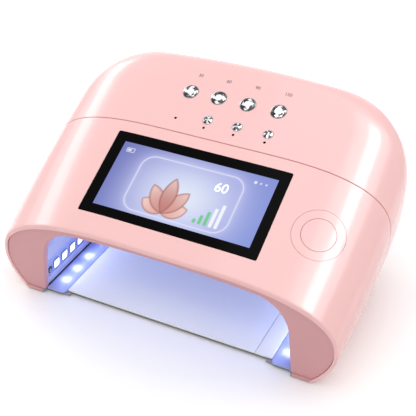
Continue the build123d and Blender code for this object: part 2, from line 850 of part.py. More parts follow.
def main():
    os.makedirs("parts", exist_ok=True)
    skin = housing()
    write("front_shell", front_shell(skin))
    write("rear_shell", rear_shell(skin))
    write("front_fascia", front_fascia())
    write("base_cover", base_cover())
    write("rubber_feet", *[both_sides(foot_pad(x, y, 0)) for x, y in pad_points])
    write("base_screws", *[both_sides(base_screw(x, y)) for x, y in screw_points])

    write("right_floor_rail", floor_rail())
    write("left_floor_rail", left_of(floor_rail()))
    write("floor_plate", plate_blank(-plate_half_width, plate_split))
    write("floor_plate_strip", plate_blank(plate_split + plate_joint, plate_half_width))
    width, length, height = magnet_size
    write("plate_magnets", *[block(x - width / 2, x + width / 2, plate_rear + 0.3,
                                   plate_rear + 0.3 + length, ledge_top + face_gap,
                                   ledge_top + face_gap + height) for x in magnet_points])

    write("cavity_liner", cavity_liner())
    write("cavity_back_panel", cavity_back_panel())
    write("right_led_board", side_board())
    write("left_led_board", left_of(side_board()))
    write("right_led_chips", *side_chips())
    write("left_led_chips", *[left_of(chip) for chip in side_chips()])
    write("right_hand_sensor", hand_sensor())
    write("left_hand_sensor", left_of(hand_sensor()))
    write("ceiling_led_board", ceiling_board())
    write("ceiling_led_chips", *ceiling_chips())
    write("camera_module", camera_module())
    write("camera_window", camera_window())

    write("display_glass", display_glass())
    write("display_panel", display_panel())
    write("display_frame", display_frame())

    for number, (x, s) in enumerate(large_gems, 1):
        write(f"large_gem_button_{number}", on_top(x, s, large_gem_button()))
    for number, (x, s) in enumerate(small_gems, 1):
        write(f"small_gem_button_{number}", on_top(x, s, small_gem_button()))
    write("gem_switches", *gem_switches())
    write("gem_switch_board", on_top(button_board_x, button_board_s,
                                     slab(*button_board_size, button_board_top,
                                          button_board_top + board_thickness)))
    write("indicator_lenses", *[on_top(x, s, indicator_lens()) for x, s in lens_points])

    write("round_button_cap", round_cap())
    write("round_button_ring", round_ring())
    write("round_button_switch", round_switch())
    write("round_button_board", round_board())

    write("main_board", main_board())
    write("main_board_parts", *main_board_parts())
    write("right_battery_cell", battery_cell())
    write("left_battery_cell", left_of(battery_cell()))
    write("right_battery_cradle", battery_cradle())
    write("left_battery_cradle", left_of(battery_cradle()))
    write("speaker", speaker())
    write("dc_jack", dc_jack())
    press = -round_plane.z_dir
    print("round button pressed along", [round(v, 4) for v in (press.X, press.Y, press.Z)])
    print("gem buttons pressed along", [0, round(sin(slope), 4), round(-cos(slope), 4)])
    print("power inlet mouth at", [jack_x, round(jack_end - overall_depth / 2, 2), jack_z])


main()
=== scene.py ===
# %% [markdown]
# # A UV nail lamp, built around its CAD frame
#
# The lamp is a glossy, sloping plastic housing over a hand cavity that glows blue-white. The packed
# CAD model gives every real size and every moving body. This file adds the looks: smooth skins,
# stones, lights and finishes. All new surfaces are worked out as numpy arrays from the same few
# outline formulas as the housing, so a piece always sits where the CAD says.

# %% Frame
from math import radians, sin, cos, tan, pi, sqrt

import bmesh
import bpy
import numpy as np
from mathutils import Matrix, Vector


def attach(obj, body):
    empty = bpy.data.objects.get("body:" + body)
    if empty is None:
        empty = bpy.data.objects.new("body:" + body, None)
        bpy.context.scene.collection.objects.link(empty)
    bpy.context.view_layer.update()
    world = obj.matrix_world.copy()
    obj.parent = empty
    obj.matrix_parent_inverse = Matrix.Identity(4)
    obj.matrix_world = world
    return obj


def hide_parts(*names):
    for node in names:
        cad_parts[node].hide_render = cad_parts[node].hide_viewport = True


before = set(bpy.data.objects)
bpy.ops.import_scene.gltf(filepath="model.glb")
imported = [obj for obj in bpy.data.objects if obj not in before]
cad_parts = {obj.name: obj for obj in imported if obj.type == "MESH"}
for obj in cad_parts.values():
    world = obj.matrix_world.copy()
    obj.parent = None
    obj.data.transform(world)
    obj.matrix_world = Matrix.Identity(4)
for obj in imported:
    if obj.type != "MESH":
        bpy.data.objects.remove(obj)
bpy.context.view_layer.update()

# %% [markdown]
# ## Working frame
# Sizes below are in millimetres: x to the right, y to the rear from the front edge, z up from the
# table. The part's own frame is in metres with y = 0 half way back, so every finished array goes
# through `placed` once. Pieces on the sloping top are laid out in its own plane with `on_top`.

# %% Working frame
half_depth = 69.0
front_height = 61.4
slope = radians(26.58)
x_axis, y_axis, z_axis = np.eye(3)


def placed(points):
    """Working millimetres to the part's metres: y moves back by half the depth."""
    return (np.asarray(points, float) - (0.0, half_depth, 0.0)) * 0.001


def points_of(*coordinates):
    """Coordinates of any shapes that fit together, side by side on a new last axis."""
    return np.stack(np.broadcast_arrays(*coordinates), -1)


up_slope = np.array([0.0, cos(slope), sin(slope)])
out_of_top = np.array([0.0, -sin(slope), cos(slope)])


def on_top(x, s, lift):
    """Points of the sloping top: x across, s up the slope from the front edge, lift out of it."""
    return (points_of(x, 0.0, front_height) + points_of(s) * up_slope
            + points_of(lift) * out_of_top)


# %% [markdown]
# ## From arrays to meshes
# A surface is a grid of points. `quads_of` joins neighbours into faces. `weld` merges points that
# coincide, so that seams and poles close, and `faces_as_lists` turns the quads that are squashed by
# it into triangles. Blender's editing tools could make the same faces one by one, but on whole
# arrays a fine grid costs little time, and one count makes it finer.

# %% Mesh helpers
def quads_of(points, loop=False):
    """Faces of a grid of points. A looped grid also joins its last column to its first."""
    rows, columns = points.shape[:2]
    index = np.arange(rows * columns).reshape(rows, columns)
    if loop:
        index = np.concatenate([index, index[:, :1]], 1)
    faces = np.stack([index[:-1, :-1], index[1:, :-1], index[1:, 1:], index[:-1, 1:]], -1)
    return points.reshape(-1, 3), faces.reshape(-1, 4)


def weld(patches, grain=1e-3):
    """Joins patches of (points, faces), merging points closer than grain millimetres."""
    offsets = np.cumsum([0] + [len(points) for points, _ in patches])
    points = np.concatenate([points for points, _ in patches])
    faces = np.concatenate([quads + offset for (_, quads), offset in zip(patches, offsets)])
    key = np.round(points / grain).astype(np.int64)
    _, first, inverse = np.unique(key, axis=0, return_index=True, return_inverse=True)
    faces = inverse.reshape(-1)[faces]
    return points[first], faces


def faces_as_lists(faces):
    """Drops squashed quads and turns quads with one repeated corner into triangles."""
    repeated = faces == np.roll(faces, 1, axis=1)
    count = repeated.sum(1)
    crossed = (faces[:, 0] == faces[:, 2]) | (faces[:, 1] == faces[:, 3])
    quads = faces[(count == 0) & ~crossed].tolist()
    single = (count == 1) & ~crossed
    triangles = faces[single][~repeated[single]].reshape(-1, 3).tolist()
    return quads + triangles


def in_scene(name, data):
    """Object for a mesh, a text, a light or a camera, linked to the scene."""
    made = bpy.data.objects.new(name, data)
    bpy.context.scene.collection.objects.link(made)
    return made


def vectors(items, name):
    """One vector for each vertex or face, as an array (n, 3)."""
    values = np.zeros(len(items) * 3)
    items.foreach_get(name, values)
    return values.reshape(-1, 3)


def face_outwards(piece):
    """Turns the faces of a closed mesh outwards and fills any loop that is still open."""
    shape = bmesh.new()
    shape.from_mesh(piece.data)
    bmesh.ops.remove_doubles(shape, verts=shape.verts, dist=1e-7)
    open_edges = [edge for edge in shape.edges if edge.is_boundary]
    if open_edges:
        bmesh.ops.holes_fill(shape, edges=open_edges, sides=0)
    bmesh.ops.recalc_face_normals(shape, faces=shape.faces)
    shape.to_mesh(piece.data)
    shape.free()
    return piece


def new_mesh(name, patches):
    """Closed piece made of patches of (points, faces) in working millimetres."""
    points, faces = weld(patches)
    mesh = bpy.data.meshes.new(name)
    mesh.from_pydata(placed(points).tolist(), [], faces_as_lists(faces))
    mesh.validate()
    return face_outwards(in_scene(name, mesh))


def finish(piece, material, replaces=(), body="lamp", crisp_from=32):
    """Gives a piece its material, its body and the CAD nodes it stands for. Shading is smooth, but
    edges sharper than crisp_from degrees stay crisp, and at 0 every face stays flat."""
    if crisp_from:
        piece.data.shade_smooth()
        piece.data.set_sharp_from_angle(angle=radians(crisp_from))
    piece.data.materials.clear()
    piece.data.materials.append(material)
    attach(piece, body)
    if replaces:
        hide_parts(*replaces)
    print(f"{piece.name}: {len(piece.data.polygons)} faces")


# %% [markdown]
# ## Cutting
# The display, the round button and the gems sit in holes of the glossy shell. A hole is cut with a
# closed tool by an exact Boolean. The same tools, a hair smaller, cut the glass and the button out
# of the same skin, so they lie flush with it, as they do on the real lamp. A hole could also be
# left out of the grid, but its edge would then follow the steps of the grid. An exact Boolean
# leaves faces of many corners and thin needles, which are cleared up after each cut.

# %% Cutting tools
def prism(outline, base, x_dir, y_dir, z_dir, low, high):
    """Closed bar: a closed outline (n, 2) carried from low to high along z_dir."""
    flat = base + outline[:, :1] * x_dir + outline[:, 1:] * y_dir
    rings = np.stack([flat + low * z_dir, flat + high * z_dir])
    return new_mesh("tool", [quads_of(rings, loop=True)])


def arc(x, y, radius, angle):
    """Points (n, 2) at the given angles on a circle round x, y."""
    return points_of(x + radius * np.cos(angle), y + radius * np.sin(angle))


def circle(radius, count):
    """Closed outline of a circle round the origin."""
    return arc(0, 0, radius, np.linspace(0, 2 * pi, count, endpoint=False))


def rounded_rectangle(width, length, corner, count=6):
    """Outline of four quarter circles joined by straight sides."""
    turn = np.linspace(0, pi / 2, count)
    return np.concatenate([
        arc(x * (width / 2 - corner), y * (length / 2 - corner), corner, turn + quarter * pi / 2)
        for quarter, (x, y) in enumerate([(1, 1), (-1, 1), (-1, -1), (1, -1)])])


def top_tool(outline, x, s, low, high):
    """Bar square to the sloping top, with its outline centred on x, s."""
    return prism(outline, on_top(x, s, 0.0), x_axis, up_slope, out_of_top, low, high)


needle_width = 2e-6  # metres


def cut(piece, tools, operation="DIFFERENCE"):
    """Applies the tools to the piece one after the other, then removes them. Faces of more than
    four corners are split and needle faces dissolved, so that no face folds back on itself."""
    for tool in tools:
        change = piece.modifiers.new("cut", "BOOLEAN")
        change.operation = operation
        change.solver = "EXACT"
        change.object = tool
    depsgraph = bpy.context.evaluated_depsgraph_get()
    mesh = bpy.data.meshes.new_from_object(piece.evaluated_get(depsgraph))
    mesh.name = piece.name
    shape = bmesh.new()
    shape.from_mesh(mesh)
    bmesh.ops.triangulate(shape, faces=[face for face in shape.faces if len(face.verts) > 4])
    bmesh.ops.dissolve_degenerate(shape, dist=needle_width, edges=shape.edges)
    shape.to_mesh(mesh)
    shape.free()
    piece.modifiers.clear()
    piece.data = mesh
    for tool in tools:
        bpy.data.objects.remove(tool)
    return piece


# %% [markdown]
# ## Outline formulas of the housing
# Seen from above, each level of the housing has flared sides, round rear corners and a slightly
# bowed rear. Seen from the front, the shoulder is a superellipse from the widest line up to the
# flat top, and the foot tucks in below that line. A subdivided cage could come close to this body,
# but the formulas are those of the CAD model, so the skins made here differ from it only in how
# finely they are divided.

# %% Housing formulas
body_depth = 135.7
rear_bow = 2.3
quarter_circle_handle = 0.5523
shoulder_width = 87.1
corner_radius = 34.2
corner_tightening = 0.225
rear_round_depth, rear_round_height = 12.9, 14.1
foot_tuck, foot_tuck_rise, foot_tuck_power = 14.7, 0.02, 1.88
rear_foot_tuck = 5.0
wall = 2.4
foot_gap = 0.8
seam_front, seam_rear = 75.1, 75.75


def half_width(y):
    """Half the width at the widest line: a parabola that flares towards the rear."""
    return 114.75 + 0.0972 * y - 0.000636 * y * y


def waist(y):
    """Height of the widest line."""
    return 26.6 + 0.438 * y


def top_height(y):
    """Height of the flat sloping top."""
    return front_height + y * tan(slope)


def shoulder_power(y):
    """Power of the superellipse: the shoulder gets squarer towards the rear."""
    return 2.48 + 0.0051 * y


def side_x(level, y, inset, upper):
    """Distance of the side from the middle: the half width, less the shoulder or the foot tuck."""
    if upper:
        power = shoulder_power(y)
        inward = shoulder_width * (1 - (1 - level**power)**(1 / power))
    else:
        inward = (foot_tuck + foot_tuck_rise * y) * (1 - level)**foot_tuck_power
    return half_width(y) - inset - inward


def side_z(level, y, inset, upper):
    """Height of the side: level runs from the table to the waist, or from there to the top."""
    if upper:
        return waist(y) * (1 - level) + (top_height(y) - inset / cos(slope)) * level
    return waist(y) * level


def even_shoulder(count):
    """Levels that divide the shoulder curve, half way back, into equal lengths."""
    turn = np.linspace(0, pi / 2, 4000)
    level = np.sin(turn)**0.74
    x, z = side_x(level, 60.0, 0.0, True), side_z(level, 60.0, 0.0, True)
    length = np.concatenate([[0], np.cumsum(np.hypot(np.diff(x), np.diff(z)))])
    levels = np.interp(np.linspace(0, length[-1], count), length, level)
    levels[-1] = 1.0
    return levels


foot_levels = np.linspace(0, 1, 19)
shoulder_levels = even_shoulder(64)
top_shares = np.linspace(0, 1, 17)


def half_section(y, inset):
    """Rows from the foot up the right side and over the shoulder to the middle of the top.
    y and inset are arrays along the columns."""
    y, inset = np.asarray(y, float), np.asarray(inset, float)
    return with_top(np.concatenate([
        points_of(side_x(level, y, inset, upper), y, side_z(level, y, inset, upper))
        for level, upper in ((foot_levels[:, None], False), (shoulder_levels[1:, None], True))]))


def with_top(rows):
    """Adds rows from the last one to the middle plane x = 0."""
    last = rows[-1]
    top = last[None] * np.ones((len(top_shares) - 1, 1, 1))
    top[..., 0] *= 1 - top_shares[1:, None]
    return np.concatenate([rows, top])


def both_halves(rows):
    """Mirrors the right half, so that rows run from the right foot to the left foot."""
    left = rows[::-1] * (-1, 1, 1)
    return np.concatenate([rows, left[1:]])


def bezier(points, t):
    """Cubic curve through four control points, each an array (rows, 2), at parameters t."""
    a, b, c, d = (point[:, None, :] for point in points)
    t = t[None, :, None]
    return a * (1 - t)**3 + 3 * b * t * (1 - t)**2 + 3 * c * t * t * (1 - t) + d * t**3


def rear_half_rows(levels, inset, upper, start):
    """Columns from the seam along the right side, round the corner and to the middle rear."""
    level = levels[:, None]
    if upper:
        below_top = (1 - level) * (top_height(body_depth) - waist(body_depth))
        climb = np.clip(1 - below_top / (rear_round_height - inset), 0, 1)
        rear_inset = (rear_round_depth - inset) * (1 - np.sqrt(1 - climb**2))
        y = body_depth - corner_radius
        inward = half_width(y) - side_x(level, y, 0.0, True)
        corner = corner_radius - inset - corner_tightening * inward
    else:
        rear_inset = rear_foot_tuck * (1 - level)**foot_tuck_power
        corner = corner_radius - inset + 0 * level
    corner_y = body_depth - inset - rear_inset - corner
    y = start + (corner_y - start) * np.linspace(0, 1, 34)
    side = points_of(side_x(level, y, inset, upper), y)
    lean = (side_x(level, corner_y + 0.05, inset, upper)
            - side_x(level, corner_y - 0.05, inset, upper)) / 0.1
    edge_x = side_x(level, corner_y, inset, upper)
    rear_x, rear_y = edge_x - corner, corner_y + corner
    handle = quarter_circle_handle * corner
    bow_handle = rear_bow / 0.75
    bow_lean = bow_handle / (rear_x * 2 / 3)

    def pair(x, y):
        return np.concatenate([x, y], -1)

    bend = bezier([pair(edge_x, corner_y), pair(edge_x + lean * handle, corner_y + handle),
                   pair(rear_x + handle, rear_y - bow_lean * handle), pair(rear_x, rear_y)],
                  np.linspace(0, 1, 30))
    rear = bezier([pair(rear_x, rear_y), pair(rear_x / 3, rear_y + bow_handle),
                   pair(-rear_x / 3, rear_y + bow_handle), pair(-rear_x, rear_y)],
                  np.linspace(0, 0.5, 30))
    plan = np.concatenate([side, bend[:, 1:], rear[:, 1:]], 1)
    return points_of(plan[..., 0], plan[..., 1], side_z(level, plan[..., 1], inset, upper))


def closed_wall(outer, inner):
    """Closed solid between two skins of the same grid size: the skins and four edge strips."""
    loop = np.concatenate([outer, inner[:, ::-1]], 1)
    ends = [quads_of(np.stack([outer[row], inner[row]])) for row in (0, -1)]
    return [quads_of(loop, loop=True)] + ends


print("width at the widest line, front and rear:", 2 * half_width(0.0),
      round(2 * half_width(body_depth), 1), "mm")

# %% [markdown]
# ## Colours and shared effects
# Gloss plastic is never one flat colour: the melt gives faint clouds, and the polished tool leaves
# a slight orange peel. Both effects are node groups that every moulded material uses with its own
# values. An image could hold such marks too, but noise on Object coordinates needs no unwrapping
# and shows no seam. The groups put out only a colour, a roughness or a height, and the shader stays
# in the material, so that the export can read it.

# %% Node groups
def new_group(name, inputs, outputs):
    """Shader node group with named sockets. Inputs are (name, type, default)."""
    group = bpy.data.node_groups.new(name, "ShaderNodeTree")
    for socket, kind, default in inputs:
        made = group.interface.new_socket(socket, in_out="INPUT", socket_type=kind)
        if default is not None:
            made.default_value = default
    for socket, kind in outputs:
        group.interface.new_socket(socket, in_out="OUTPUT", socket_type=kind)
    start = group.nodes.new("NodeGroupInput")
    end = group.nodes.new("NodeGroupOutput")
    return group, start, end


def math_node(tree, operation):
    """Number node, such as MULTIPLY."""
    node = tree.nodes.new("ShaderNodeMath")
    node.operation = operation
    return node


def colour_mix(tree):
    """Node that blends colour A into colour B by a factor."""
    node = tree.nodes.new("ShaderNodeMix")
    node.data_type = "RGBA"
    return node


def set_values(node, values):
    """Gives sockets of a node their values, by name or by number."""
    for socket, value in values.items():
        node.inputs[socket].default_value = value
    return node


def wire(tree, *rows):
    """Links sockets. Each row is a node and its output, then the next node and its input."""
    for source, output, receiver, socket in rows:
        tree.links.new(source.outputs[output], receiver.inputs[socket])


COLOUR, NUMBER = "NodeSocketColor", "NodeSocketFloat"

clouds, clouds_in, clouds_out = new_group(
    "moulded_clouds",
    [("Colour", COLOUR, (0.8, 0.8, 0.8, 1)), ("Deep Colour", COLOUR, (0.7, 0.7, 0.7, 1)),
     ("Amount", NUMBER, 0.5), ("Scale", NUMBER, 12.0), ("Roughness", NUMBER, 0.2),
     ("Roughness Change", NUMBER, 0.05)],
    [("Colour", COLOUR), ("Roughness", NUMBER)])
place = clouds.nodes.new("ShaderNodeTexCoord")
melt = set_values(clouds.nodes.new("ShaderNodeTexNoise"), {"Detail": 3.0})
amount, polish = math_node(clouds, "MULTIPLY"), math_node(clouds, "MULTIPLY_ADD")
tint = colour_mix(clouds)
wire(clouds, (place, "Object", melt, "Vector"), (clouds_in, "Scale", melt, "Scale"),
     (melt, "Fac", amount, 0), (clouds_in, "Amount", amount, 1), (amount, 0, tint, "Factor"),
     (clouds_in, "Colour", tint, "A"), (clouds_in, "Deep Colour", tint, "B"),
     (tint, "Result", clouds_out, "Colour"), (melt, "Fac", polish, 0),
     (clouds_in, "Roughness Change", polish, 1), (clouds_in, "Roughness", polish, 2),
     (polish, 0, clouds_out, "Roughness"))

peel, peel_in, peel_out = new_group(
    "orange_peel", [("Scale", NUMBER, 900.0), ("Depth", NUMBER, 0.1)], [("Height", NUMBER)])
place = peel.nodes.new("ShaderNodeTexCoord")
grain = set_values(peel.nodes.new("ShaderNodeTexNoise"), {"Detail": 1.5})
depth = math_node(peel, "MULTIPLY")
wire(peel, (place, "Object", grain, "Vector"), (peel_in, "Scale", grain, "Scale"),
     (grain, "Fac", depth, 0), (peel_in, "Depth", depth, 1), (depth, 0, peel_out, "Height"))
print("shared effects:", clouds.name, peel.name)


def linear(r, g, b):
    """Screen colour 0 to 255 to the linear values that a shader takes."""
    share = np.array([r, g, b], float) / 255
    return tuple(np.where(share <= 0.04045, share / 12.92, ((share + 0.055) / 1.055)**2.4)) + (1.0,)


def new_material(name, values):
    """Material, its node tree, and its Principled shader with the given socket values."""
    material = bpy.data.materials.new(name)
    material.use_nodes = True
    tree = material.node_tree
    return material, tree, set_values(tree.nodes["Principled BSDF"], values)


def group_node(tree, group, values):
    """A shared effect placed in a material, with this material's own values."""
    node = tree.nodes.new("ShaderNodeGroup")
    node.node_tree = group
    return set_values(node, values)


def moulded(name, colour, deep, amount=0.5, scale=14.0, roughness=0.25, change=0.05,
            peel_scale=900.0, peel_depth=0.05, coat=0.0, metallic=0.0, specular=0.5, glow=None,
            glow_strength=0.0):
    """Material on the Principled shader with the shared clouds and orange peel. Its colours are
    screen values, 0 to 255."""
    material, tree, shader = new_material(name, {
        "Metallic": metallic, "Coat Weight": coat, "Coat Roughness": 0.03,
        "Specular IOR Level": specular})
    tone = group_node(tree, clouds, {"Colour": linear(*colour), "Deep Colour": linear(*deep),
                                     "Amount": amount, "Scale": scale, "Roughness": roughness,
                                     "Roughness Change": change})
    skin = group_node(tree, peel, {"Scale": peel_scale, "Depth": 1.0})
    bump = set_values(tree.nodes.new("ShaderNodeBump"),
                      {"Strength": peel_depth, "Distance": 0.0002})
    wire(tree, (tone, "Colour", shader, "Base Color"), (tone, "Roughness", shader, "Roughness"),
         (skin, "Height", bump, "Height"), (bump, "Normal", shader, "Normal"))
    if glow:
        set_values(shader, {"Emission Color": linear(*glow), "Emission Strength": glow_strength})
    return material


# %% [markdown]
# ## Finishes
# The shell is a very glossy light pink with a clear lacquer. The fascia round the opening is the
# same plastic, deeper and satin. The cavity is a pale blue-white reflector, and its floor plate is
# white gloss. The finishes differ only in colour, gloss and grain, so one function makes them all:
# first the colour, then its deeper cloud, then what differs from a plain moulding.

# %% Materials
pink_gloss = moulded("pink_gloss", (250, 202, 200), (248, 196, 195), roughness=0.17, change=0.04,
                     coat=0.2, specular=0.3, peel_depth=0.02)
rose_satin = moulded("rose_satin", (222, 165, 167), (213, 155, 158), amount=0.6, roughness=0.42,
                     change=0.08, peel_scale=2600, peel_depth=0.12)
# Deep rose of painted shade, for the shade inside the seam and the button grooves.
gap_shade_rose = moulded("gap_shade_rose", (172, 72, 74), (160, 64, 66), roughness=0.5)
cover_satin = moulded("cover_satin", (222, 165, 168), (210, 152, 156), roughness=0.4)
reflector = moulded("reflector", (200, 207, 240), (190, 198, 236), roughness=0.18, change=0.06,
                    coat=0.3)
plate_gloss = moulded("plate_gloss", (237, 237, 235), (230, 231, 230), roughness=0.3, coat=0.15)
# The rails' blue tint is painted blue light from the LEDs.
rail_painted_blue_and_shade = moulded("rail_painted_blue_and_shade", (172, 183, 240), (164, 175, 236), roughness=0.2, coat=0.3)
# The LED boards and chip frames are white; their blue tint is painted blue LED light.
board_painted_blue = moulded("board_painted_blue", (168, 181, 236), (160, 173, 232), roughness=0.35)
chip_glow = moulded("chip_glow", (240, 244, 255), (235, 240, 255), roughness=0.3,
                    glow=(205, 212, 255), glow_strength=3.0)
black_gloss = moulded("black_gloss", (5, 5, 6), (9, 9, 10), roughness=0.12, change=0.03,
                      specular=0.03, peel_depth=0.0)
black_matt = moulded("black_matt", (28, 28, 30), (22, 22, 24), roughness=0.5)
circuit_green = moulded("circuit_green", (28, 92, 58), (20, 76, 46), scale=160, roughness=0.35)
steel = moulded("steel", (190, 190, 194), (170, 170, 176), scale=200, metallic=1.0, roughness=0.3)
rubber = moulded("rubber", (62, 58, 60), (52, 49, 51), roughness=0.75, peel_depth=0.3)
cell_wrap = moulded("cell_wrap", (40, 104, 150), (34, 92, 138))
window_dark = moulded("window_dark", (26, 24, 32), (34, 30, 42), roughness=0.1, coat=0.5,
                      peel_depth=0.0)
print("finishes:", len(bpy.data.materials))

# %% [markdown]
# ## Painted shade on one piece
# The plates are blanked from sheet. The lower half of their cut edge, and of the rails' edge, is
# painted dark: painted shade for the gap beneath them. The base cover is rose under the legs and
# painted grey between them, painted shade where it shows in front of the plates. Two materials
# would need an edge loop along each line. One rule on Object coordinates does without: on one
# side of a level the finish stays, on the other it takes the painted shade colour.

# %% Edge masks
# Paints shade on one side of a level: there the base colour becomes the painted shade colour.
def paint_shade_within(material, axis, level, shade_colour):
    """Where the distance from the middle along the axis is over the level the finish stays."""
    tree = material.node_tree
    shader = tree.nodes["Principled BSDF"]
    kept = shader.inputs["Base Color"].links[0].from_node
    place = tree.nodes.new("ShaderNodeTexCoord")
    split = tree.nodes.new("ShaderNodeSeparateXYZ")
    distance = math_node(tree, "ABSOLUTE")
    beyond = set_values(math_node(tree, "GREATER_THAN"), {1: level / 1000})
    choose = set_values(colour_mix(tree), {"A": shade_colour})
    wire(tree, (place, "Object", split, "Vector"), (split, axis, distance, 0),
         (distance, 0, beyond, 0), (beyond, 0, choose, "Factor"), (kept, "Colour", choose, "B"),
         (choose, "Result", shader, "Base Color"))


leg_inner_x, edge_shade_z = 88.4, 1.95
# Base cover: painted grey shade between the legs, where it shows in front of the plates.
paint_shade_within(cover_satin, "X", leg_inner_x, linear(150, 148, 158))
# Plates and rails: lower part of the front edge painted dark, as painted shade for the gap below.
for material in (plate_gloss, rail_painted_blue_and_shade):
    paint_shade_within(material, "Z", edge_shade_z, linear(46, 48, 60))

# %% [markdown]
# ## Front shell
# The front shell runs from the front edge to the seam. Its wall is 2.4 mm thick and its front edge
# is rounded over, as on a moulding that is touched there. A Solidify modifier could give the wall,
# but with a square edge. Here one loop of columns goes in along the outside, round the edge and
# back along the inside, so the wall closes by itself.

# %% Front shell
edge_round = 0.9


def shell_band(name, rear_y, front_end, thickness_from, thickness_to, rounded):
    """Closed wall between two insets, from rear_y forward to front_end."""
    if rounded:
        angle = np.linspace(0, pi / 2, 7)
        y_run = rear_y + (front_end + edge_round - rear_y) * np.linspace(0, 1, 62)
        y = np.concatenate([y_run, front_end + edge_round * (1 - np.sin(angle[1:]))])
        inset = np.concatenate([0 * y_run, edge_round * (1 - np.cos(angle[1:]))])
    else:
        y = np.linspace(rear_y, front_end, 12)
        inset = 0 * y
    outer = half_section(y, thickness_from + inset)
    inner = half_section(y, thickness_to + 0 * y)
    return new_mesh(name, closed_wall(both_halves(outer), both_halves(inner)))


front_shell = shell_band("front_shell_skin", seam_front, 0.0, 0.0, wall, True)

display_x, display_s = -2.95, 45.05
display_size = (120.5, 61.1)
round_point = np.array([84.9, 44.5 * cos(slope), 0.0])
ring_radius, ring_inner_radius, cap_radius = 16.0, 10.6, 10.3


def shoulder_height(x, y):
    """Height of the outer skin above a point of the plan, by solving the shoulder curve."""
    power = shoulder_power(y)
    inward = np.maximum(0.0, (x - half_width(y) + shoulder_width) / shoulder_width)
    level = (1 - inward**power)**(1 / power)
    return waist(y) * (1 - level) + top_height(y) * level


round_x, round_y = round_point[:2]
round_point[2] = shoulder_height(round_x, round_y)
fall_x = (shoulder_height(round_x + 1, round_y) - shoulder_height(round_x - 1, round_y)) / 2
fall_y = (shoulder_height(round_x, round_y + 1) - shoulder_height(round_x, round_y - 1)) / 2
round_out = np.array([-fall_x, -fall_y, 1.0])
round_out /= np.linalg.norm(round_out)
round_right = np.array([1.0, 0.0, fall_x])
round_right /= np.linalg.norm(round_right)
round_up = np.cross(round_out, round_right)
print("round button faces", round_out.round(3))


tool_reach, far = 12.0, 200.0
skin_gap = 0.2


def round_tool(radius):
    """Cylinder along the axis of the round button."""
    return prism(circle(radius, 96), round_point, round_right, round_up, round_out, -tool_reach,
                 tool_reach)


def table_tool():
    """Box below the level where the housing ends. It reaches a hair over that level, so that the
    cut doesn't graze the lowest ring of points."""
    outline = np.array([(-far, -50), (far, -50), (far, far), (-far, far)])
    return prism(outline, np.zeros(3), x_axis, y_axis, z_axis, -20, foot_gap + 0.01)


def display_tool(grow):
    """Bar with the outline of the display glass, grown by grow on each side."""
    outline = rounded_rectangle(display_size[0] + 2 * grow, display_size[1] + 2 * grow, 1.0 + grow)
    return top_tool(outline, display_x, display_s, -tool_reach, tool_reach)


skin_copy = shell_band("skin_copy", seam_front, 0.0, 0.0, wall, True)
cut(front_shell, [table_tool(), display_tool(skin_gap), round_tool(ring_radius + skin_gap)])
finish(front_shell, pink_gloss, ["front_shell"])

# %% [markdown]
# ## Rear shell
# The rear shell carries on round the corners and closes the back. The columns follow each level
# from the seam to the middle of the rear wall, and the two halves meet there. The holes for the
# stones, the lenses, the speaker and the power jack are cut through it. Inside the seam lie two
# thin bands in a deep rose of painted shade: a rim behind both shells, and a band in the gap that
# stands for the shade seen there.

# %% Rear shell
def rear_skin(inset):
    """Skin of the rear shell at an inset: foot, shoulder and top, mirrored to the left."""
    rows = np.concatenate([rear_half_rows(foot_levels, inset, False, seam_rear),
                           rear_half_rows(shoulder_levels[1:], inset, True, seam_rear)])
    return both_halves(with_top(rows))


def rear_wall(outer, inner):
    """Closed wall of the rear shell. Its two halves meet at the middle, so that edge stays open."""
    return [quads_of(outer), quads_of(inner), quads_of(np.stack([outer[:, 0], inner[:, 0]])),
            quads_of(np.stack([outer[0], inner[0]])), quads_of(np.stack([outer[-1], inner[-1]]))]


rear_shell = new_mesh("rear_shell_skin", rear_wall(rear_skin(0.0), rear_skin(wall)))

gem_columns = [-29.8, -9.6, 10.8, 31.9]
large_gem_s, small_gem_s = 116.2, 98.1
large_gem_radius, small_gem_radius = 5.3, 3.3
lens_points = [(-31.0, 94.2), (-9.9, 91.9), (10.6, 91.9), (31.9, 91.9)]
gem_gap, lens_hole_radius = 0.15, 0.9
gem_tool_reach, rear_tool_y, rear_tool_length = 6.0, 128.0, 20.0
jack_x, jack_z, jack_radius = -72.0, 72.0, 4.7
speaker_x, speaker_z = 54.0, 88.0
slot_size, slot_pitch = (20.0, 1.6), 4.0
holes = [(circle(large_gem_radius + gem_gap, 48), x, large_gem_s) for x in gem_columns]
holes += [(circle(small_gem_radius + gem_gap, 40), x, small_gem_s) for x in gem_columns[1:]]
holes += [(circle(lens_hole_radius, 24), x, s) for x, s in lens_points]
tools = [table_tool()] + [top_tool(outline, x, s, -gem_tool_reach, gem_tool_reach)
                          for outline, x, s in holes]
rear_holes = [(rounded_rectangle(*slot_size, 0.79, 8), speaker_x, speaker_z + row * slot_pitch)
              for row in range(-2, 3)]
for outline, x, z in rear_holes + [(circle(jack_radius, 48), jack_x, jack_z)]:
    tools.append(prism(outline, np.array([x, rear_tool_y, z]), x_axis, z_axis, y_axis, 0,
                       rear_tool_length))
cut(rear_shell, tools)
finish(rear_shell, pink_gloss, ["rear_shell"])

# The rim behind the shells and a band in the seam gap, both in the deep rose of painted shade.
rim_rear, rim_front = 79.0, 72.4
seam_rim = shell_band("seam_rim", rim_rear, rim_front, wall + 0.15, wall + 1.4, False)
seam_gap_shade = shell_band("seam_gap_shade", seam_rear - 0.02, seam_front + 0.02, 0.45, wall, False)
for piece in (seam_rim, seam_gap_shade):
    cut(piece, [table_tool()])
    finish(piece, gap_shade_rose)

# %% [markdown]
# ## Display glass and round button
# The black glass and the two circles of the round button lie flush with the housing, and follow its
# crown. So they are cut out of a copy of the same skin, with tools a hair smaller than the holes.
# The grooves between them are filled a little lower with a deeper rose: painted shade for the gaps.

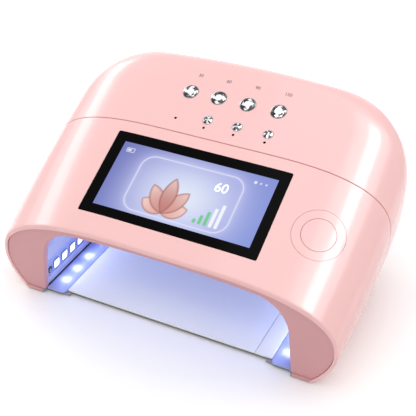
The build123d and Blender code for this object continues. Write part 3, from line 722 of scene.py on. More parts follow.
# %% Glass and round button
def from_skin(skin, name, within, without=None):
    """The part of a skin inside one tool and outside another."""
    piece = in_scene(name, skin.data.copy())
    cut(piece, [within], "INTERSECT")
    return cut(piece, [without]) if without else piece


display_glass = from_skin(skin_copy, "display_lens", display_tool(0.0))
finish(display_glass, black_gloss, ["display_glass"])
button_ring = from_skin(skin_copy, "round_button_ring_skin", round_tool(ring_radius),
                        round_tool(ring_inner_radius))
finish(button_ring, pink_gloss, ["round_button_ring"])
button_cap = from_skin(skin_copy, "round_button_cap_skin", round_tool(cap_radius))
finish(button_cap, pink_gloss, ["round_button_cap"], "round_cap")
groove_copy = shell_band("groove_copy", seam_front, 0.0, 0.45, wall - 0.4, True)
# Groove fills: deep rose of painted shade in the gaps round the ring and the cap.
for name, outer, inner in (("ring_groove", ring_radius + 0.17, ring_radius + 0.03),
                           ("cap_groove", ring_inner_radius - 0.02, cap_radius + 0.1)):
    groove = from_skin(groove_copy, name, round_tool(outer), round_tool(inner))
    finish(groove, gap_shade_rose)
bpy.data.objects.remove(groove_copy)
bpy.data.objects.remove(skin_copy)

# %% [markdown]
# ## Display picture
# The panel lights a smaller area than the glass covers, so a black border stays. The lit area is a
# thin sheet that follows the crown of the glass. Its colours are worked out for every point from
# distances: a blue-violet ground, a pale glow in the middle, a pane with a thin white outline, a
# flower of five petals, level bars for the light, and a battery sign and three dots in the upper
# corners. They are kept in an attribute of the points, so no image is needed. The numeral is a
# separate piece, because its edge has to be sharper than the points are close.

# %% Display picture
lit_size, lit_shift = (106.0, 47.8), (0.6, -0.3)
picture_cell = 0.4


def skin_lift(x, s, above):
    """Lift over the flat top plane that brings a point onto the outer skin."""
    lift = np.zeros(np.broadcast(x, s).shape)
    for _ in range(4):
        y = s * cos(slope) - lift * sin(slope)
        flat = front_height + s * sin(slope)
        drop = (shoulder_height(np.abs(x), y) - flat) * cos(slope)
        lift = np.where(np.abs(x) < 25, 0.0, drop)
    return lift + above


def inside(distance, soft=0.25):
    """Cover of a shape from its distance, negative inside."""
    return np.clip(0.5 - distance / (2 * soft), 0, 1)


def petal(u, v, root, length, width, turn):
    """Signed distance to a petal: the overlap of two circles, standing on its root."""
    along = (u - root[0]) * sin(turn) + (v - root[1]) * cos(turn)
    across = (u - root[0]) * cos(turn) - (v - root[1]) * sin(turn)
    bulge = (length**2 / 4 + width**2 / 4) / width
    return np.hypot(along - length / 2, np.abs(across) + bulge - width / 2) - bulge


def pane(u, v, middle, size, corner):
    """Signed distance to a rounded rectangle."""
    across = np.abs(u - middle[0]) - size[0] / 2 + corner
    along = np.abs(v - middle[1]) - size[1] / 2 + corner
    outside = np.hypot(np.maximum(across, 0), np.maximum(along, 0))
    return outside + np.minimum(np.maximum(across, along), 0) - corner


def picture(u, v):
    """Colour of the display at u across and v up, in millimetres from its middle. Each layer has
    a colour and its cover, and hides part of what lies below."""
    frame_line = np.abs(pane(u, v, (0, -1.5), (70, 40), 9))
    layers = [((132, 148, 220), 0.5 + u / 106 - v / 120),
              ((186, 190, 240), 0.85 * np.exp(-((u / 41)**4 + ((v + 3) / 27)**4))),
              ((230, 238, 253), 0.95 * np.exp(-((u / 27)**2 + ((v + 5) / 21)**2))),
              ((250, 251, 255), 0.9 * inside(frame_line - 0.35)),
              ((206, 208, 250), 0.5 * np.exp(-frame_line / 1.6))]
    root = (-8.0, -18.5)
    outer_shade, side_shade, middle_shade = (232, 178, 166), (214, 150, 140), (198, 128, 120)
    for turn, length, shade in ((-1.15, 17, outer_shade), (1.15, 17, outer_shade),
                                (-0.6, 22, side_shade), (0.6, 22, side_shade),
                                (0.0, 26, middle_shade)):
        distance = petal(u, v, root, length, 10.0, turn)
        along = (u - root[0]) * sin(turn) + (v - root[1]) * cos(turn)
        tip = inside(distance + 0.9, 0.9) * np.clip(along / length, 0, 1)**2
        layers += [((160, 96, 96), inside(distance, 0.35)), (shade, inside(distance + 0.6, 0.6)),
                   ((250, 228, 226), 0.8 * tip)]
    for step in range(5):
        bar = pane(u, v, (14.0 + 3.6 * step, -17.0 + 1.7 * step), (2.2, 3.0 + 3.4 * step), 0.8)
        layers.append(((120, 205, 150) if step < 3 else (246, 249, 255), inside(bar)))
    status_v = 18.5
    marks = [np.abs(pane(u, v, (-46.5, status_v), (5.4, 2.8), 0.5)) - 0.2,
             pane(u, v, (-47.3, status_v), (2.6, 1.4), 0.2)]
    marks += [np.hypot(u - dot, v - status_v) - radius
              for dot, radius in ((40.0, 1.0), (43.5, 0.6), (47.0, 0.6))]
    layers += [((235, 240, 255), inside(distance)) for distance in marks]
    sheet = np.zeros(u.shape + (3,)) + linear(112, 118, 190)[:3]
    for colour, cover in layers:
        sheet = sheet + (linear(*colour)[:3] - sheet) * np.clip(cover, 0, 1)[..., None]
    return sheet


lit_x, lit_s = display_x + lit_shift[0], display_s + lit_shift[1]
u = np.linspace(-0.5, 0.5, int(lit_size[0] / picture_cell) + 1) * lit_size[0]
v = np.linspace(-0.5, 0.5, int(lit_size[1] / picture_cell) + 1) * lit_size[1]
u, v = np.meshgrid(np.pad(u, 1, mode="edge"), np.pad(v, 1, mode="edge"), indexing="ij")
sheet_lift = skin_lift(lit_x + u, lit_s + v, 0.06)
for edge in (np.s_[0, :], np.s_[-1, :], np.s_[:, 0], np.s_[:, -1]):
    sheet_lift[edge] -= 0.05
display_picture = new_mesh("display_picture",
                           [quads_of(on_top(lit_x + u, lit_s + v, sheet_lift))])
sheet = display_picture.data
place = vectors(sheet.vertices, "co") * 1000 + (0, half_depth, 0)
colour = np.ones((len(place), 4))
colour[:, :3] = picture(place[:, 0] - lit_x, (place - (0, 0, front_height)) @ up_slope - lit_s)
attribute = sheet.attributes.new("picture", "FLOAT_COLOR", "POINT")
attribute.data.foreach_set("color", colour.astype(np.float32).ravel())

lit_picture, tree, shader = new_material("lit_picture", {
    "Base Color": (0.01, 0.01, 0.012, 1), "Roughness": 0.2, "Specular IOR Level": 0.12,
    "Emission Strength": 0.95})
colour = tree.nodes.new("ShaderNodeAttribute")
colour.attribute_name = "picture"
wire(tree, (colour, "Color", shader, "Emission Color"))
finish(display_picture, lit_picture)

# %% [markdown]
# ## Numerals
# The lamp counts seconds: the display and the four large buttons carry plain numbers, printed very
# thin. A text curve gives clean outlines, but can't be bent. So each is turned into a mesh first,
# then laid on the slope and bent onto the skin.

# %% Numerals
ink = moulded("ink_grey", (122, 96, 98), (112, 88, 90), roughness=0.4, peel_depth=0.0)
lit_white = moulded("lit_white", (246, 248, 255), (240, 244, 255), roughness=0.3,
                    glow=(240, 243, 255), glow_strength=0.95)


numeral_thickness = 0.03


def numeral(name, text, x, s, size, material, above=0.04):
    """Text as a thin mesh, centred on x, s of the sloping top."""
    curve = bpy.data.curves.new(name, "FONT")
    curve.body = text
    curve.size = size
    curve.extrude = numeral_thickness
    curve.align_x, curve.align_y = "CENTER", "CENTER"
    holder = in_scene(name + "_curve", curve)
    mesh = bpy.data.meshes.new_from_object(holder.evaluated_get(
        bpy.context.evaluated_depsgraph_get()))
    bpy.data.objects.remove(holder)
    flat = vectors(mesh.vertices, "co")
    lift = skin_lift(x + flat[:, 0], s + flat[:, 1], above + numeral_thickness) + flat[:, 2]
    mesh.vertices.foreach_set("co", placed(on_top(x + flat[:, 0], s + flat[:, 1], lift)).ravel())
    mesh.update()
    mesh.name = name
    finish(face_outwards(in_scene(name, mesh)), material, crisp_from=0)


numeral("display_numeral", "60", lit_x + 21.5, lit_s + 8.5, 9.0, lit_white, above=0.1)

# %% [markdown]
# ## The hand opening
# The opening is an arch: two legs that lean in a little, two round corners and a very flat roof.
# `arch_half` gives that outline, grown by any amount, so the fascia, the liner and the back panel
# all follow the same curve. A corner's centre lies one radius inside both the leg and the roof arc.

# %% Arch outline
arch_half_width, arch_lean, arch_height, arch_shoulder, arch_corner = 87.2, 0.1, 55.6, 51.6, 24.0
cavity_depth = 115.0
cover_top = 3.2


def arch_half(grow, leg_count=14, corner_count=14, roof_count=24):
    """Right half of the arch from the foot to the middle of the roof, as points (x, z)."""
    foot, top, end_z = arch_half_width + grow, arch_height + grow, arch_shoulder + grow
    end_x = foot - arch_lean * end_z
    roof_radius = (end_x**2 + (top - end_z)**2) / (2 * (top - end_z))
    roof_z = top - roof_radius
    radius = arch_corner + grow
    inner = foot - radius * sqrt(1 + arch_lean**2)
    a = 1 + arch_lean**2
    b = inner * arch_lean + roof_z
    c = inner**2 + roof_z**2 - (roof_radius - radius)**2
    centre_z = (b + sqrt(b * b - a * c)) / a
    centre_x = inner - arch_lean * centre_z
    leg_angle = np.arctan(arch_lean)
    roof_angle = np.arctan2(centre_z - roof_z, centre_x)
    leg_end = centre_z + radius * sin(leg_angle)
    z = np.linspace(cover_top, leg_end, leg_count)[:-1]
    leg = points_of(foot - arch_lean * z, z)
    corner = arc(centre_x, centre_z, radius, np.linspace(leg_angle, roof_angle, corner_count))
    roof = arc(0, roof_z, roof_radius, np.linspace(roof_angle, pi / 2, roof_count)[1:])
    return np.concatenate([leg, corner, roof])


def at_depth(outline, y):
    """Outline points (x, z) set upright at the depths y: rows along the outline."""
    return points_of(outline[:, :1], np.asarray(y, float), outline[:, 1:])


print("opening:", 2 * arch_half_width, "mm wide,", arch_height, "mm high")

# %% [markdown]
# ## Fascia
# The satin fascia is one moulding: a flat face from the shell to the opening, an edge that rolls
# inwards, and a short return. Its section is a closed loop of points that is carried along the
# arch, and at its outer side it follows the shell instead. A Bevel modifier could roll the edge,
# but a loop of points also lets the face widen towards the legs, as it does on the lamp.

# %% Fascia
fascia_front, fascia_back, fascia_return = 0.8, 3.2, 5.0
fascia_inset = wall + 0.3
roll = 1.2


def shell_outline(inset, y, count):
    """Right half of the housing's section at depth y, from the fascia's foot, evenly divided."""
    section = half_section([y], inset)[:, 0][:, [0, 2]]
    length = np.concatenate([[0], np.cumsum(np.hypot(*np.diff(section, axis=0).T))])
    start = np.interp(cover_top, section[:20, 1], length[:20])
    share = np.linspace(0, 1, count)
    share = 0.35 * share + 0.65 * share**1.25
    even = start + (length[-1] - start) * share
    return points_of(np.interp(even, length, section[:, 0]),
                     np.interp(even, length, section[:, 1]))


count = len(arch_half(0.0))
rolls = np.linspace(0, pi / 2, 7)
columns = [at_depth(arch_half(0.0), [fascia_return, fascia_front + roll + 0.01])]
for angle in rolls:
    columns.append(at_depth(arch_half(roll * (1 - cos(angle))),
                            [fascia_front + roll * (1 - sin(angle))]))
inner_edge = arch_half(roll)
outer_front = shell_outline(fascia_inset, fascia_front, count)
outer_back = shell_outline(fascia_inset, fascia_back, count)
for share in (0.25, 0.5, 0.75, 1.0):
    columns.append(at_depth(inner_edge + share * (outer_front - inner_edge), [fascia_front]))
columns.append(at_depth(outer_back, [fascia_back]))
columns.append(at_depth(arch_half(2.0), [fascia_back, fascia_return]))
fascia_half = np.concatenate(columns, 1)
fascia = new_mesh("fascia", [quads_of(both_halves(fascia_half), loop=True)])
finish(fascia, rose_satin, ["front_fascia"])

# %% [markdown]
# ## Cavity liner
# The liner is the pale reflector behind the fascia, moulded in glossy white so that the light of
# the chips reaches the hand from all sides. It is the arch outline at two sizes, joined at both
# ends. Its two walls have a long window for the light strips, and its ceiling has two more and a
# round one for the camera.

# %% Liner
liner_front, liner_step, liner_wall = 5.2, 0.6, 2.0
liner_y = np.linspace(liner_front, cavity_depth, 30)
inner, outer = (both_halves(at_depth(arch_half(grow), liner_y))
                for grow in (liner_step, liner_step + liner_wall))
liner = new_mesh("liner", closed_wall(inner, outer))
strip_front, strip_rear, strip_low, strip_high = 6.4, 111.4, 9.5, 23.3
strip_z = (strip_low + strip_high) / 2
strip_y = (strip_front + strip_rear) / 2
lean = np.arctan(arch_lean)


def wall_frame(side):
    """Origin and axes on the liner's wall: to the rear, up the wall, and outwards through it."""
    wall_x = arch_half_width + liner_step - arch_lean * strip_z
    return (np.array([side * wall_x, strip_y, strip_z]), y_axis,
            np.array([-side * sin(lean), 0, cos(lean)]), np.array([side * cos(lean), 0, sin(lean)]))


window_gap = 0.4
roof_window_size, roof_window_y = (124.0, 9.0), (39.0, 77.0)
camera_hole_radius, camera_y = 5.1, 58.0
roof_tool_z, roof_tool_length = 50.0, 12.0
strip_window = rounded_rectangle(strip_rear - strip_front + window_gap,
                                 strip_high - strip_low + window_gap, 0.5, 3)
tools = [prism(strip_window, *wall_frame(side), -5, 5) for side in (1, -1)]
roof_holes = [(rounded_rectangle(*roof_window_size, 0.5, 3), y) for y in roof_window_y]
for outline, y in roof_holes + [(circle(camera_hole_radius, 48), camera_y)]:
    tools.append(prism(outline, np.array([0, y, roof_tool_z]), x_axis, y_axis, z_axis, 0,
                       roof_tool_length))
cut(liner, tools)
finish(liner, reflector, ["cavity_liner"])

# %% [markdown]
# ## Slabs with rolled edges
# Rails, plates and light chips are flat mouldings whose edges are slightly round, and that round
# edge is what catches the light. A slab is a stack of outlines: it starts a little smaller, grows
# to full size along a quarter circle, and shrinks again at the top. A box with a Bevel modifier
# looks the same, but a stack takes any outline, such as the rail's with its one round corner.

# %% Slabs
def with_height(rings, heights):
    """Adds a third coordinate to rings (rows, columns, 2): one height for each row."""
    return points_of(rings[..., 0], rings[..., 1], heights[:, None])


def slab_rings(outline_at, low, high, edge, steps=4):
    """Rings (x, y, z) of a slab. outline_at(inset) gives its outline drawn in by inset."""
    angle = np.linspace(0, pi / 2, steps)
    inset, climb = edge * (1 - np.sin(angle)), edge * (1 - np.cos(angle))
    level = np.concatenate([low + climb, (high - climb)[::-1]])
    rings = np.stack([outline_at(value) for value in np.concatenate([inset, inset[::-1]])])
    return with_height(rings, level)


def slab(name, outline_at, low, high, edge, side=1):
    """Slab in the working frame. On side -1 it is mirrored to the left."""
    rings = slab_rings(outline_at, low, high, edge) * (side, 1, 1)
    return new_mesh(name, [quads_of(rings, loop=True)])


def box_outline(x0, x1, y0, y1, corner):
    """Function that gives a box with round corners, drawn in by an inset."""
    def outline_at(inset):
        outline = rounded_rectangle(x1 - x0 - 2 * inset, y1 - y0 - 2 * inset,
                                    max(corner - inset, 0.02))
        return outline + ((x0 + x1) / 2, (y0 + y1) / 2)
    return outline_at


rail_x, rail_y, rail_z, rail_nose = (73.2, 86.6), (3.2, 114.6), (1.65, 2.9), 3.0
# A thin black strip beside each rail's outer edge is painted shade for the dark line at the wall
# foot.
shade_strip_x, shade_strip_y, shade_strip_z = (86.62, 87.4), (5.3, 114.4), (2.95, 3.2)
plate_x, strip_x, plate_y, plate_z = (-72.9, 61.2), (61.5, 72.9), (6.8, 112.2), (1.7, 2.9)


def rail_outline(inset):
    """Right rail seen from above: square, but its inner front corner is rounded."""
    x0, x1, y0, y1 = rail_x[0] + inset, rail_x[1] - inset, rail_y[0] + inset, rail_y[1] - inset
    corner = rail_nose - inset
    nose = arc(x0 + corner, y0 + corner, corner, np.linspace(pi, 3 * pi / 2, 12))
    return np.concatenate([nose, [(x1, y0), (x1, y1), (x0, y1)]])


sides = (("right", 1), ("left", -1))
for name, side in sides:
    rail = slab(f"{name}_floor_rail_bar", rail_outline, *rail_z, 0.35, side)
    finish(rail, rail_painted_blue_and_shade, [f"{name}_floor_rail"])
# Painted shade: a thin black strip at the foot of each cavity wall.
for name, side in sides:
    shade_strip = slab(f"{name}_rail_shade_strip", box_outline(*shade_strip_x, *shade_strip_y, 0.1), *shade_strip_z, 0.05, side)
    finish(shade_strip, black_matt)
for name, span, node in (("plate_wide", plate_x, "floor_plate"),
                         ("plate_narrow", strip_x, "floor_plate_strip")):
    plate = slab(name, box_outline(*span, *plate_y, 0.6), *plate_z, 0.3)
    finish(plate, plate_gloss, [node], "tray")

# %% [markdown]
# ## Light chips
# Each strip carries square LED packages: a white frame with a clear, slightly domed window that
# glows. The dome is a grid over a square, highest in the middle, with a fourth-power edge. One
# package is worked out in its own frame, and the row is that grid moved along the wall.

# %% Light chips
chip_first, chip_pitch, chip_count, chip_z = 15.6, 9.45, 10, 15.0
chip_width, chip_height, chip_depth, chip_rim, chip_face = 6.4, 6.6, 0.7, 0.35, 0.35
window_rise, window_back, window_rim_back = 0.25, 0.66, 0.1


def dome(width, height, rise, count=9):
    """Grid (count, count, 3): flat-topped dome over a rectangle, z = rise (1 - u^4)(1 - v^4)."""
    u = np.linspace(-1, 1, count)
    u, v = np.meshgrid(u, u, indexing="ij")
    return points_of(u * width / 2, v * height / 2, rise * (1 - u**4) * (1 - v**4))


def placed_grid(grid, base, x_dir, y_dir, z_dir):
    """A grid of local points set at a base with its own three directions."""
    return np.asarray(base) + grid @ np.array([x_dir, y_dir, z_dir], float)


def chip_patches(side):
    """Frames and windows of a row of chips. Depth grows outwards, so the light faces inwards.
    The last ring of a window goes back into its frame, so that its flat base is hidden."""
    origin, x_dir, y_dir, z_dir = wall_frame(side)
    outline_at = box_outline(-chip_width / 2, chip_width / 2, -chip_height / 2, chip_height / 2,
                             0.5)
    frame_grid = slab_rings(outline_at, chip_face - chip_depth, chip_face, 0.15)
    window_grid = np.pad(dome(chip_width - 2 * chip_rim, chip_height - 2 * chip_rim, -window_rise),
                         ((1, 1), (1, 1), (0, 0)), mode="edge")
    window_grid[[0, -1], :, 2] = window_grid[:, [0, -1], 2] = window_rim_back
    window_grid[..., 2] += chip_face - window_back
    frames, windows = [], []
    for i in range(chip_count):
        base = (origin + (chip_first + i * chip_pitch - strip_y) * x_dir
                + (chip_z - strip_z) * y_dir)
        frames.append(quads_of(placed_grid(frame_grid, base, x_dir, y_dir, z_dir), loop=True))
        windows.append(quads_of(placed_grid(window_grid, base, x_dir, y_dir, z_dir)))
    return frames, windows


for name, side in sides:
    frames, windows = chip_patches(side)
    finish(new_mesh(f"{name}_chip_frames", frames), board_painted_blue, [f"{name}_led_chips"])
    finish(new_mesh(f"{name}_chip_windows", windows), chip_glow)

# %% [markdown]
# ## Cut stones
# The gem buttons are faceted crystals. The corners of a brilliant cut are four rings, and their
# convex hull gives the flat facets. Inside a real stone each facet shows another piece of the
# room. Clear glass would do that too, but in so small a stone it takes very many samples. So each
# facet is a mirror with a painted reflection: its own grey, part of it by the direction, part by a
# fixed random draw.

# %% Gem buttons
cut_stone, tree, shader = new_material("cut_stone", {
    "Metallic": 0.85, "Roughness": 0.05, "Coat Weight": 1.0})
facet = tree.nodes.new("ShaderNodeAttribute")
facet.attribute_name = "facet"
# The ramp turns each facet's painted reflection value into black, grey or white.
ramp = tree.nodes.new("ShaderNodeValToRGB")
stops = ramp.color_ramp.elements
stops[0].position, stops[0].color = 0.3, linear(10, 9, 11)
stops[1].position, stops[1].color = 0.66, linear(252, 252, 253)
stops.new(0.5).color = linear(128, 126, 130)
wire(tree, (facet, "Fac", ramp, "Fac"), (ramp, "Color", shader, "Base Color"))

stone_seed = 7
stone_sides, stone_lift = 8, 0.08
random = np.random.default_rng(stone_seed)


def stone_corners(radius, height, table):
    """Rings of corners: the girdle, its bevel, the kites and the table."""
    rings = []
    for ring_count, share, level, turn in ((2 * stone_sides, 1.0, 0.0, 0.0),
                                           (2 * stone_sides, 0.97, 0.3, 0.0),
                                           (stone_sides, (1 + table) / 2 + 0.03, 0.72, 0.5),
                                           (stone_sides, table, 1.0, 0.0)):
        angle = 2 * pi * (np.arange(ring_count) + turn) / ring_count
        rings.append(points_of(share * radius * np.cos(angle), share * radius * np.sin(angle),
                               level * height))
    return np.concatenate(rings)


def facet_painted_reflections(mesh, x, s, radius, table):
    """Painted reflection of each facet, as a grey: middle grey, plus a wave of four light and four
    dark sectors, plus a random part. The rim is painted darker, the table bright, and what faces
    sideways nearly black."""
    facing = vectors(mesh.polygons, "normal") @ out_of_top
    middle = vectors(mesh.polygons, "center") * 1000 + (0, half_depth, 0) - on_top(x, s, 0.0)
    reach = np.hypot(middle[:, 0], middle @ up_slope) / radius
    angle = np.arctan2(middle @ up_slope, middle[:, 0])
    tone = 0.4 + 0.3 * np.sin(4 * angle + 0.7) + 0.75 * (random.random(len(facing)) - 0.5)
    tone = np.where(reach > 0.86, 0.6 * tone, tone)
    tone = np.where((facing > 0.99) & (reach < table), 0.97, tone)
    return np.clip(np.where(facing < 0.25, 0.04, tone), 0, 1)


def stone(name, x, s, radius, height, table):
    """Convex hull of the corners, just over the floor of its cup, with a tone for each facet."""
    shape = bmesh.new()
    corners = stone_corners(radius, height, table) + (0, 0, stone_lift)
    for corner in placed(on_top(x + corners[:, 0], s + corners[:, 1], corners[:, 2])):
        shape.verts.new(corner)
    hull = bmesh.ops.convex_hull(shape, input=shape.verts)
    bmesh.ops.delete(shape, geom=hull["geom_unused"] + hull["geom_interior"], context="VERTS")
    bmesh.ops.recalc_face_normals(shape, faces=shape.faces)
    mesh = bpy.data.meshes.new(name)
    shape.to_mesh(mesh)
    shape.free()
    facet = mesh.attributes.new("facet", "FLOAT", "FACE")
    facet.data.foreach_set("value", facet_painted_reflections(mesh, x, s, radius, table).astype(np.float32))
    return in_scene(name, mesh)


def turned(profile, count=48):
    """Surface of revolution: a profile (radius, height) turned about the local z axis."""
    profile = np.asarray(profile, float)
    return with_height(profile[:, None, :1] * circle(1.0, count), profile[:, 1])


def on_top_grid(grid, x, s):
    """A grid of local points set on the sloping top at x, s."""
    return on_top(x + grid[..., 0], s + grid[..., 1], grid[..., 2])


def gem_stem(name, x, s, radius):
    """Metal cup that holds the stone, with the flange and plunger under the shell."""
    profile = [(0, 0.05), (radius * 0.95, 0.05), (radius * 0.985, 0.2), (radius + 0.02, 0.1),
               (radius + 0.05, -0.2), (radius + 0.05, -2.7), (radius + 1.0, -2.7),
               (radius + 1.0, -3.6), (1.6, -3.6), (1.6, -5.45), (0, -5.45)]
    return new_mesh(name, [quads_of(on_top_grid(turned(profile), x, s), loop=True)])


for size, columns, s, cup_radius, radius, height, table in (
        ("large", gem_columns, large_gem_s, large_gem_radius, 5.1, 0.6, 0.5),
        ("small", gem_columns[1:], small_gem_s, small_gem_radius, 3.05, 0.4, 0.12)):
    for number, x in enumerate(columns, 1):
        body = f"{size}_gem_{number}"
        finish(gem_stem(f"{size}_gem_cup_{number}", x, s, cup_radius), steel,
               [f"{size}_gem_button_{number}"], body)
        finish(stone(f"{size}_gem_stone_{number}", x, s, radius, height, table), cut_stone,
               body=body, crisp_from=0)
numeral_shift, numeral_rise, numeral_size = 1.4, 14.0, 3.4
for text, x in zip(("30", "60", "90", "120"), gem_columns):
    numeral(f"numeral_{text}", text, x + numeral_shift, large_gem_s + numeral_rise, numeral_size,
            ink)
lens_profile = [(0, 0.14), (0.4, 0.1), (0.7, 0.0), (0.84, -0.15), (0.84, -2.6), (1.4, -2.6),
                (1.4, -3.4), (0, -3.4)]
lenses = [quads_of(on_top_grid(turned(lens_profile, 24), x, s), loop=True)
          for x, s in lens_points]
finish(new_mesh("indicator_lens_caps", lenses), black_gloss, ["indicator_lenses"])

# %% [markdown]
# ## Materials of the CAD pieces that stay
# Boards, cells, switches and other hidden pieces keep their CAD shape, because little or nothing of
# them is seen from outside. They only get their finish here: one material, then the names of the
# nodes that take it.

# %% Carried-over nodes
node_finish = (
    (cover_satin, "base_cover"), (rubber, "rubber_feet"), (reflector, "cavity_back_panel"),
    (steel, "base_screws plate_magnets gem_switches round_button_switch"),
    (board_painted_blue, "right_led_board left_led_board ceiling_led_board"),
    (window_dark, "right_hand_sensor left_hand_sensor camera_window"),
    (chip_glow, "ceiling_led_chips"), (black_gloss, "display_panel dc_jack"),
    (black_matt, "camera_module display_frame main_board_parts right_battery_cradle "
                 "left_battery_cradle speaker"),
    (circuit_green, "gem_switch_board round_button_board main_board"),
    (cell_wrap, "right_battery_cell left_battery_cell"))

for material, names in node_finish:
    for name in names.split():
        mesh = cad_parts[name].data
        mesh.materials.clear()
        mesh.materials.append(material)

# %% [markdown]
# ## Floor
# The lamp stands on a flat sheet of white paper. Near the lamp the paper is lit as any surface, so
# it takes a soft shadow. Further out, rays that see it find it brighter, so it joins the white of
# the background, and its light on the lamp stays the same.

# %% Floor
reach = 4.0
floor_mesh = bpy.data.meshes.new("floor")
floor_mesh.from_pydata([(-reach, -reach, 0), (reach, -reach, 0), (reach, reach, 0),
                        (-reach, reach, 0)], [], [(0, 1, 2, 3)])
floor = in_scene("floor", floor_mesh)
print("paper:", 2 * reach, "m square")


def seen_rays(tree):
    """1 for the rays that see the backdrop: camera, mirror and glass rays, and 0 for light."""
    rays = tree.nodes.new("ShaderNodeLightPath")
    mirrored, seen = math_node(tree, "MAXIMUM"), math_node(tree, "MAXIMUM")
    wire(tree, (rays, "Is Camera Ray", mirrored, 0), (rays, "Is Glossy Ray", mirrored, 1),
         (mirrored, 0, seen, 0), (rays, "Is Transmission Ray", seen, 1))
    return seen


def paper_material(near, far, lift):
    """White paper that brightens by lift, between two distances from the lamp in metres."""
    material, tree, shader = new_material("paper", {
        "Base Color": (0.93, 0.925, 0.925, 1), "Roughness": 0.5, "Specular IOR Level": 0.25,
        "Emission Color": (1, 1, 1, 1)})
    place = tree.nodes.new("ShaderNodeTexCoord")
    distance = tree.nodes.new("ShaderNodeVectorMath")
    distance.operation = "LENGTH"
    fade = set_values(tree.nodes.new("ShaderNodeMapRange"),
                      {"From Min": near, "From Max": far, "To Max": lift})
    glow = math_node(tree, "MULTIPLY")
    wire(tree, (place, "Object", distance, 0), (distance, "Value", fade, "Value"),
         (fade, "Result", glow, 0), (seen_rays(tree), 0, glow, 1),
         (glow, 0, shader, "Emission Strength"))
    return material


floor_mesh.materials.append(paper_material(0.1, 0.34, 0.7))

# %% [markdown]
# ## Light
# The photograph is a high-key studio shot: white walls all round and soft light from above. A
# softbox on the left and a large one overhead light the lamp and the paper.

# %% Light
def area_light(name, place, target, size, power, colour=(1, 1, 1), along=(1, 0, 0)):
    """Softbox at a place, shining at the target, its first side lying along a direction."""
    lamp = bpy.data.lights.new(name, "AREA")
    lamp.shape = "RECTANGLE"
    lamp.size, lamp.size_y = size
    lamp.energy = power
    lamp.color = colour
    back = (Vector(place) - Vector(target)).normalized()
    side = Vector(along) - back * back.dot(Vector(along))
    side.normalize()
    holder = in_scene(name, lamp)
    holder.matrix_world = Matrix.Translation(Vector(place)) @ Matrix(
        (side, back.cross(side), back)).transposed().to_4x4()
    holder.visible_camera = False
    print(f"{name}: {power} W")
    return holder


lamp_middle = (0, 0, 0.05)


def from_direction(azimuth, elevation, distance):
    """Place seen from the lamp at an azimuth (0 behind, 90 to the right) and an elevation."""
    turn, rise = radians(azimuth), radians(elevation)
    return (distance * sin(turn) * cos(rise), distance * cos(turn) * cos(rise),
            lamp_middle[2] + distance * sin(rise))


area_light("softbox_left", from_direction(-82, 33, 1.0), lamp_middle, (0.85, 0.16), 2.2,
           along=(0, 1, 0))
area_light("overhead", (0.3, -0.05, 1.25), (0, 0, 0), (1.5, 1.5), 8.8)

# %% [markdown]
# ## Highlights
# Gloss plastic shows the shape of each softbox: a narrow bright band inside a wide pale one on both
# shoulders, and one along the top of the rear. In the studio the same boxes also give the soft
# light, but here that is left to the two above, so each can be set on its own. These four are seen
# only in mirror rays.

# %% Highlights
right_edge = (0.19, -0.65, -0.09)
for lamp in (
        area_light("halo_left", from_direction(-82, 30, 1.05), lamp_middle, (1.0, 0.4), 2.0,
                   along=(0, 1, 0)),
        area_light("softbox_right", (0.43, -0.005, 0.975), lamp_middle, (0.72, 0.2), 4.5,
                   along=right_edge),
        area_light("halo_right", (0.46, 0.0, 0.96), lamp_middle, (0.95, 0.6), 6.0,
                   along=right_edge),
        area_light("rear_strip", from_direction(-24, 28, 1.3), lamp_middle, (1.8, 0.5), 2.2)):
    lamp.visible_diffuse = False

# %% [markdown]
# ## Cavity light
# Inside the arch the LEDs give a blue-white light. The glowing chips alone would take many samples
# to settle, so small area lights in front of the strips, under the ceiling and at the mouth carry
# it, with a small pool of light under each of the front chips. They don't show in mirror rays,
# where the chips themselves are seen.

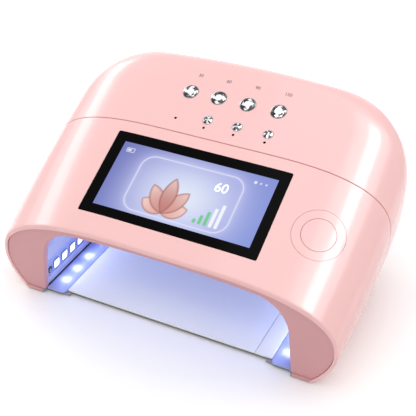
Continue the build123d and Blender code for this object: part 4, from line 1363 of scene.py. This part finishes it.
# %% Cavity light
wall_blue, pool_white = (0.6, 0.66, 1.0), (0.9, 0.93, 1.0)
cavity_lights = [area_light("cavity_ceiling", placed([0.0, 84.0, 54.0]), placed([0.0, 83.9, 0.0]),
                            (0.12, 0.06), 0.0033, (0.52, 0.59, 1.0)),
                 area_light("cavity_mouth", placed([0.0, 16.0, 34.0]), placed([0.0, 15.9, 0.0]),
                            (0.15, 0.02), 0.0058, (0.93, 0.95, 1.0))]
for name, side in sides:
    cavity_lights.append(area_light(f"cavity_{name}", placed([side * 82.5, 50.0, 17.0]),
                                    placed([0.0, 50.0, 6.0]), (0.012, 0.08), 0.0095, wall_blue,
                                    along=(0, 0, 1)))
    for y in (15.6, 29.0, 44.0):
        cavity_lights.append(area_light(f"pool_{name}_{y:.0f}", placed([side * 80.0, y, 6.2]),
                                        placed([side * 79.5, y, 2.9]), (0.003, 0.003), 0.0005,
                                        pool_white))
for lamp in cavity_lights:
    lamp.visible_glossy = False

# %% [markdown]
# ## Surroundings
# The room is plain white. As with the paper, rays that see it find full white, and the light that
# it gives is weaker, so that the softboxes can shape the lamp.

# %% World
room_light = 0.57
world = bpy.data.worlds.new("studio")
bpy.context.scene.world = world
world.use_nodes = True
tree = world.node_tree
background = set_values(tree.nodes["Background"], {"Color": (1, 1, 1, 1)})
level = set_values(tree.nodes.new("ShaderNodeMapRange"), {"To Min": room_light, "To Max": 1.0})
wire(tree, (seen_rays(tree), 0, level, "Value"), (level, "Result", background, "Strength"))
print("room light:", room_light)

# %% [markdown]
# ## Camera
# The view is that of the photograph, from above and a little to the right. The focal length in
# pixels, the place and the target come from the fit of the housing's edges to the photograph.

# %% Camera
focal_pixels, picture_pixels, sensor = 895.8, 416, 36.0
camera_data = bpy.data.cameras.new("camera")
camera_data.sensor_width = sensor
camera_data.lens = focal_pixels / picture_pixels * sensor
camera = in_scene("camera", camera_data)
camera.location = (0.2096, -0.4305, 0.3835)
look_at = Vector((0.0333, -0.069, 0.105))
camera.rotation_euler = (look_at - camera.location).to_track_quat("-Z", "Y").to_euler()
bpy.context.scene.camera = camera
bpy.context.scene.view_settings.view_transform = "Standard"
print("lens", round(camera_data.lens, 1), "mm")
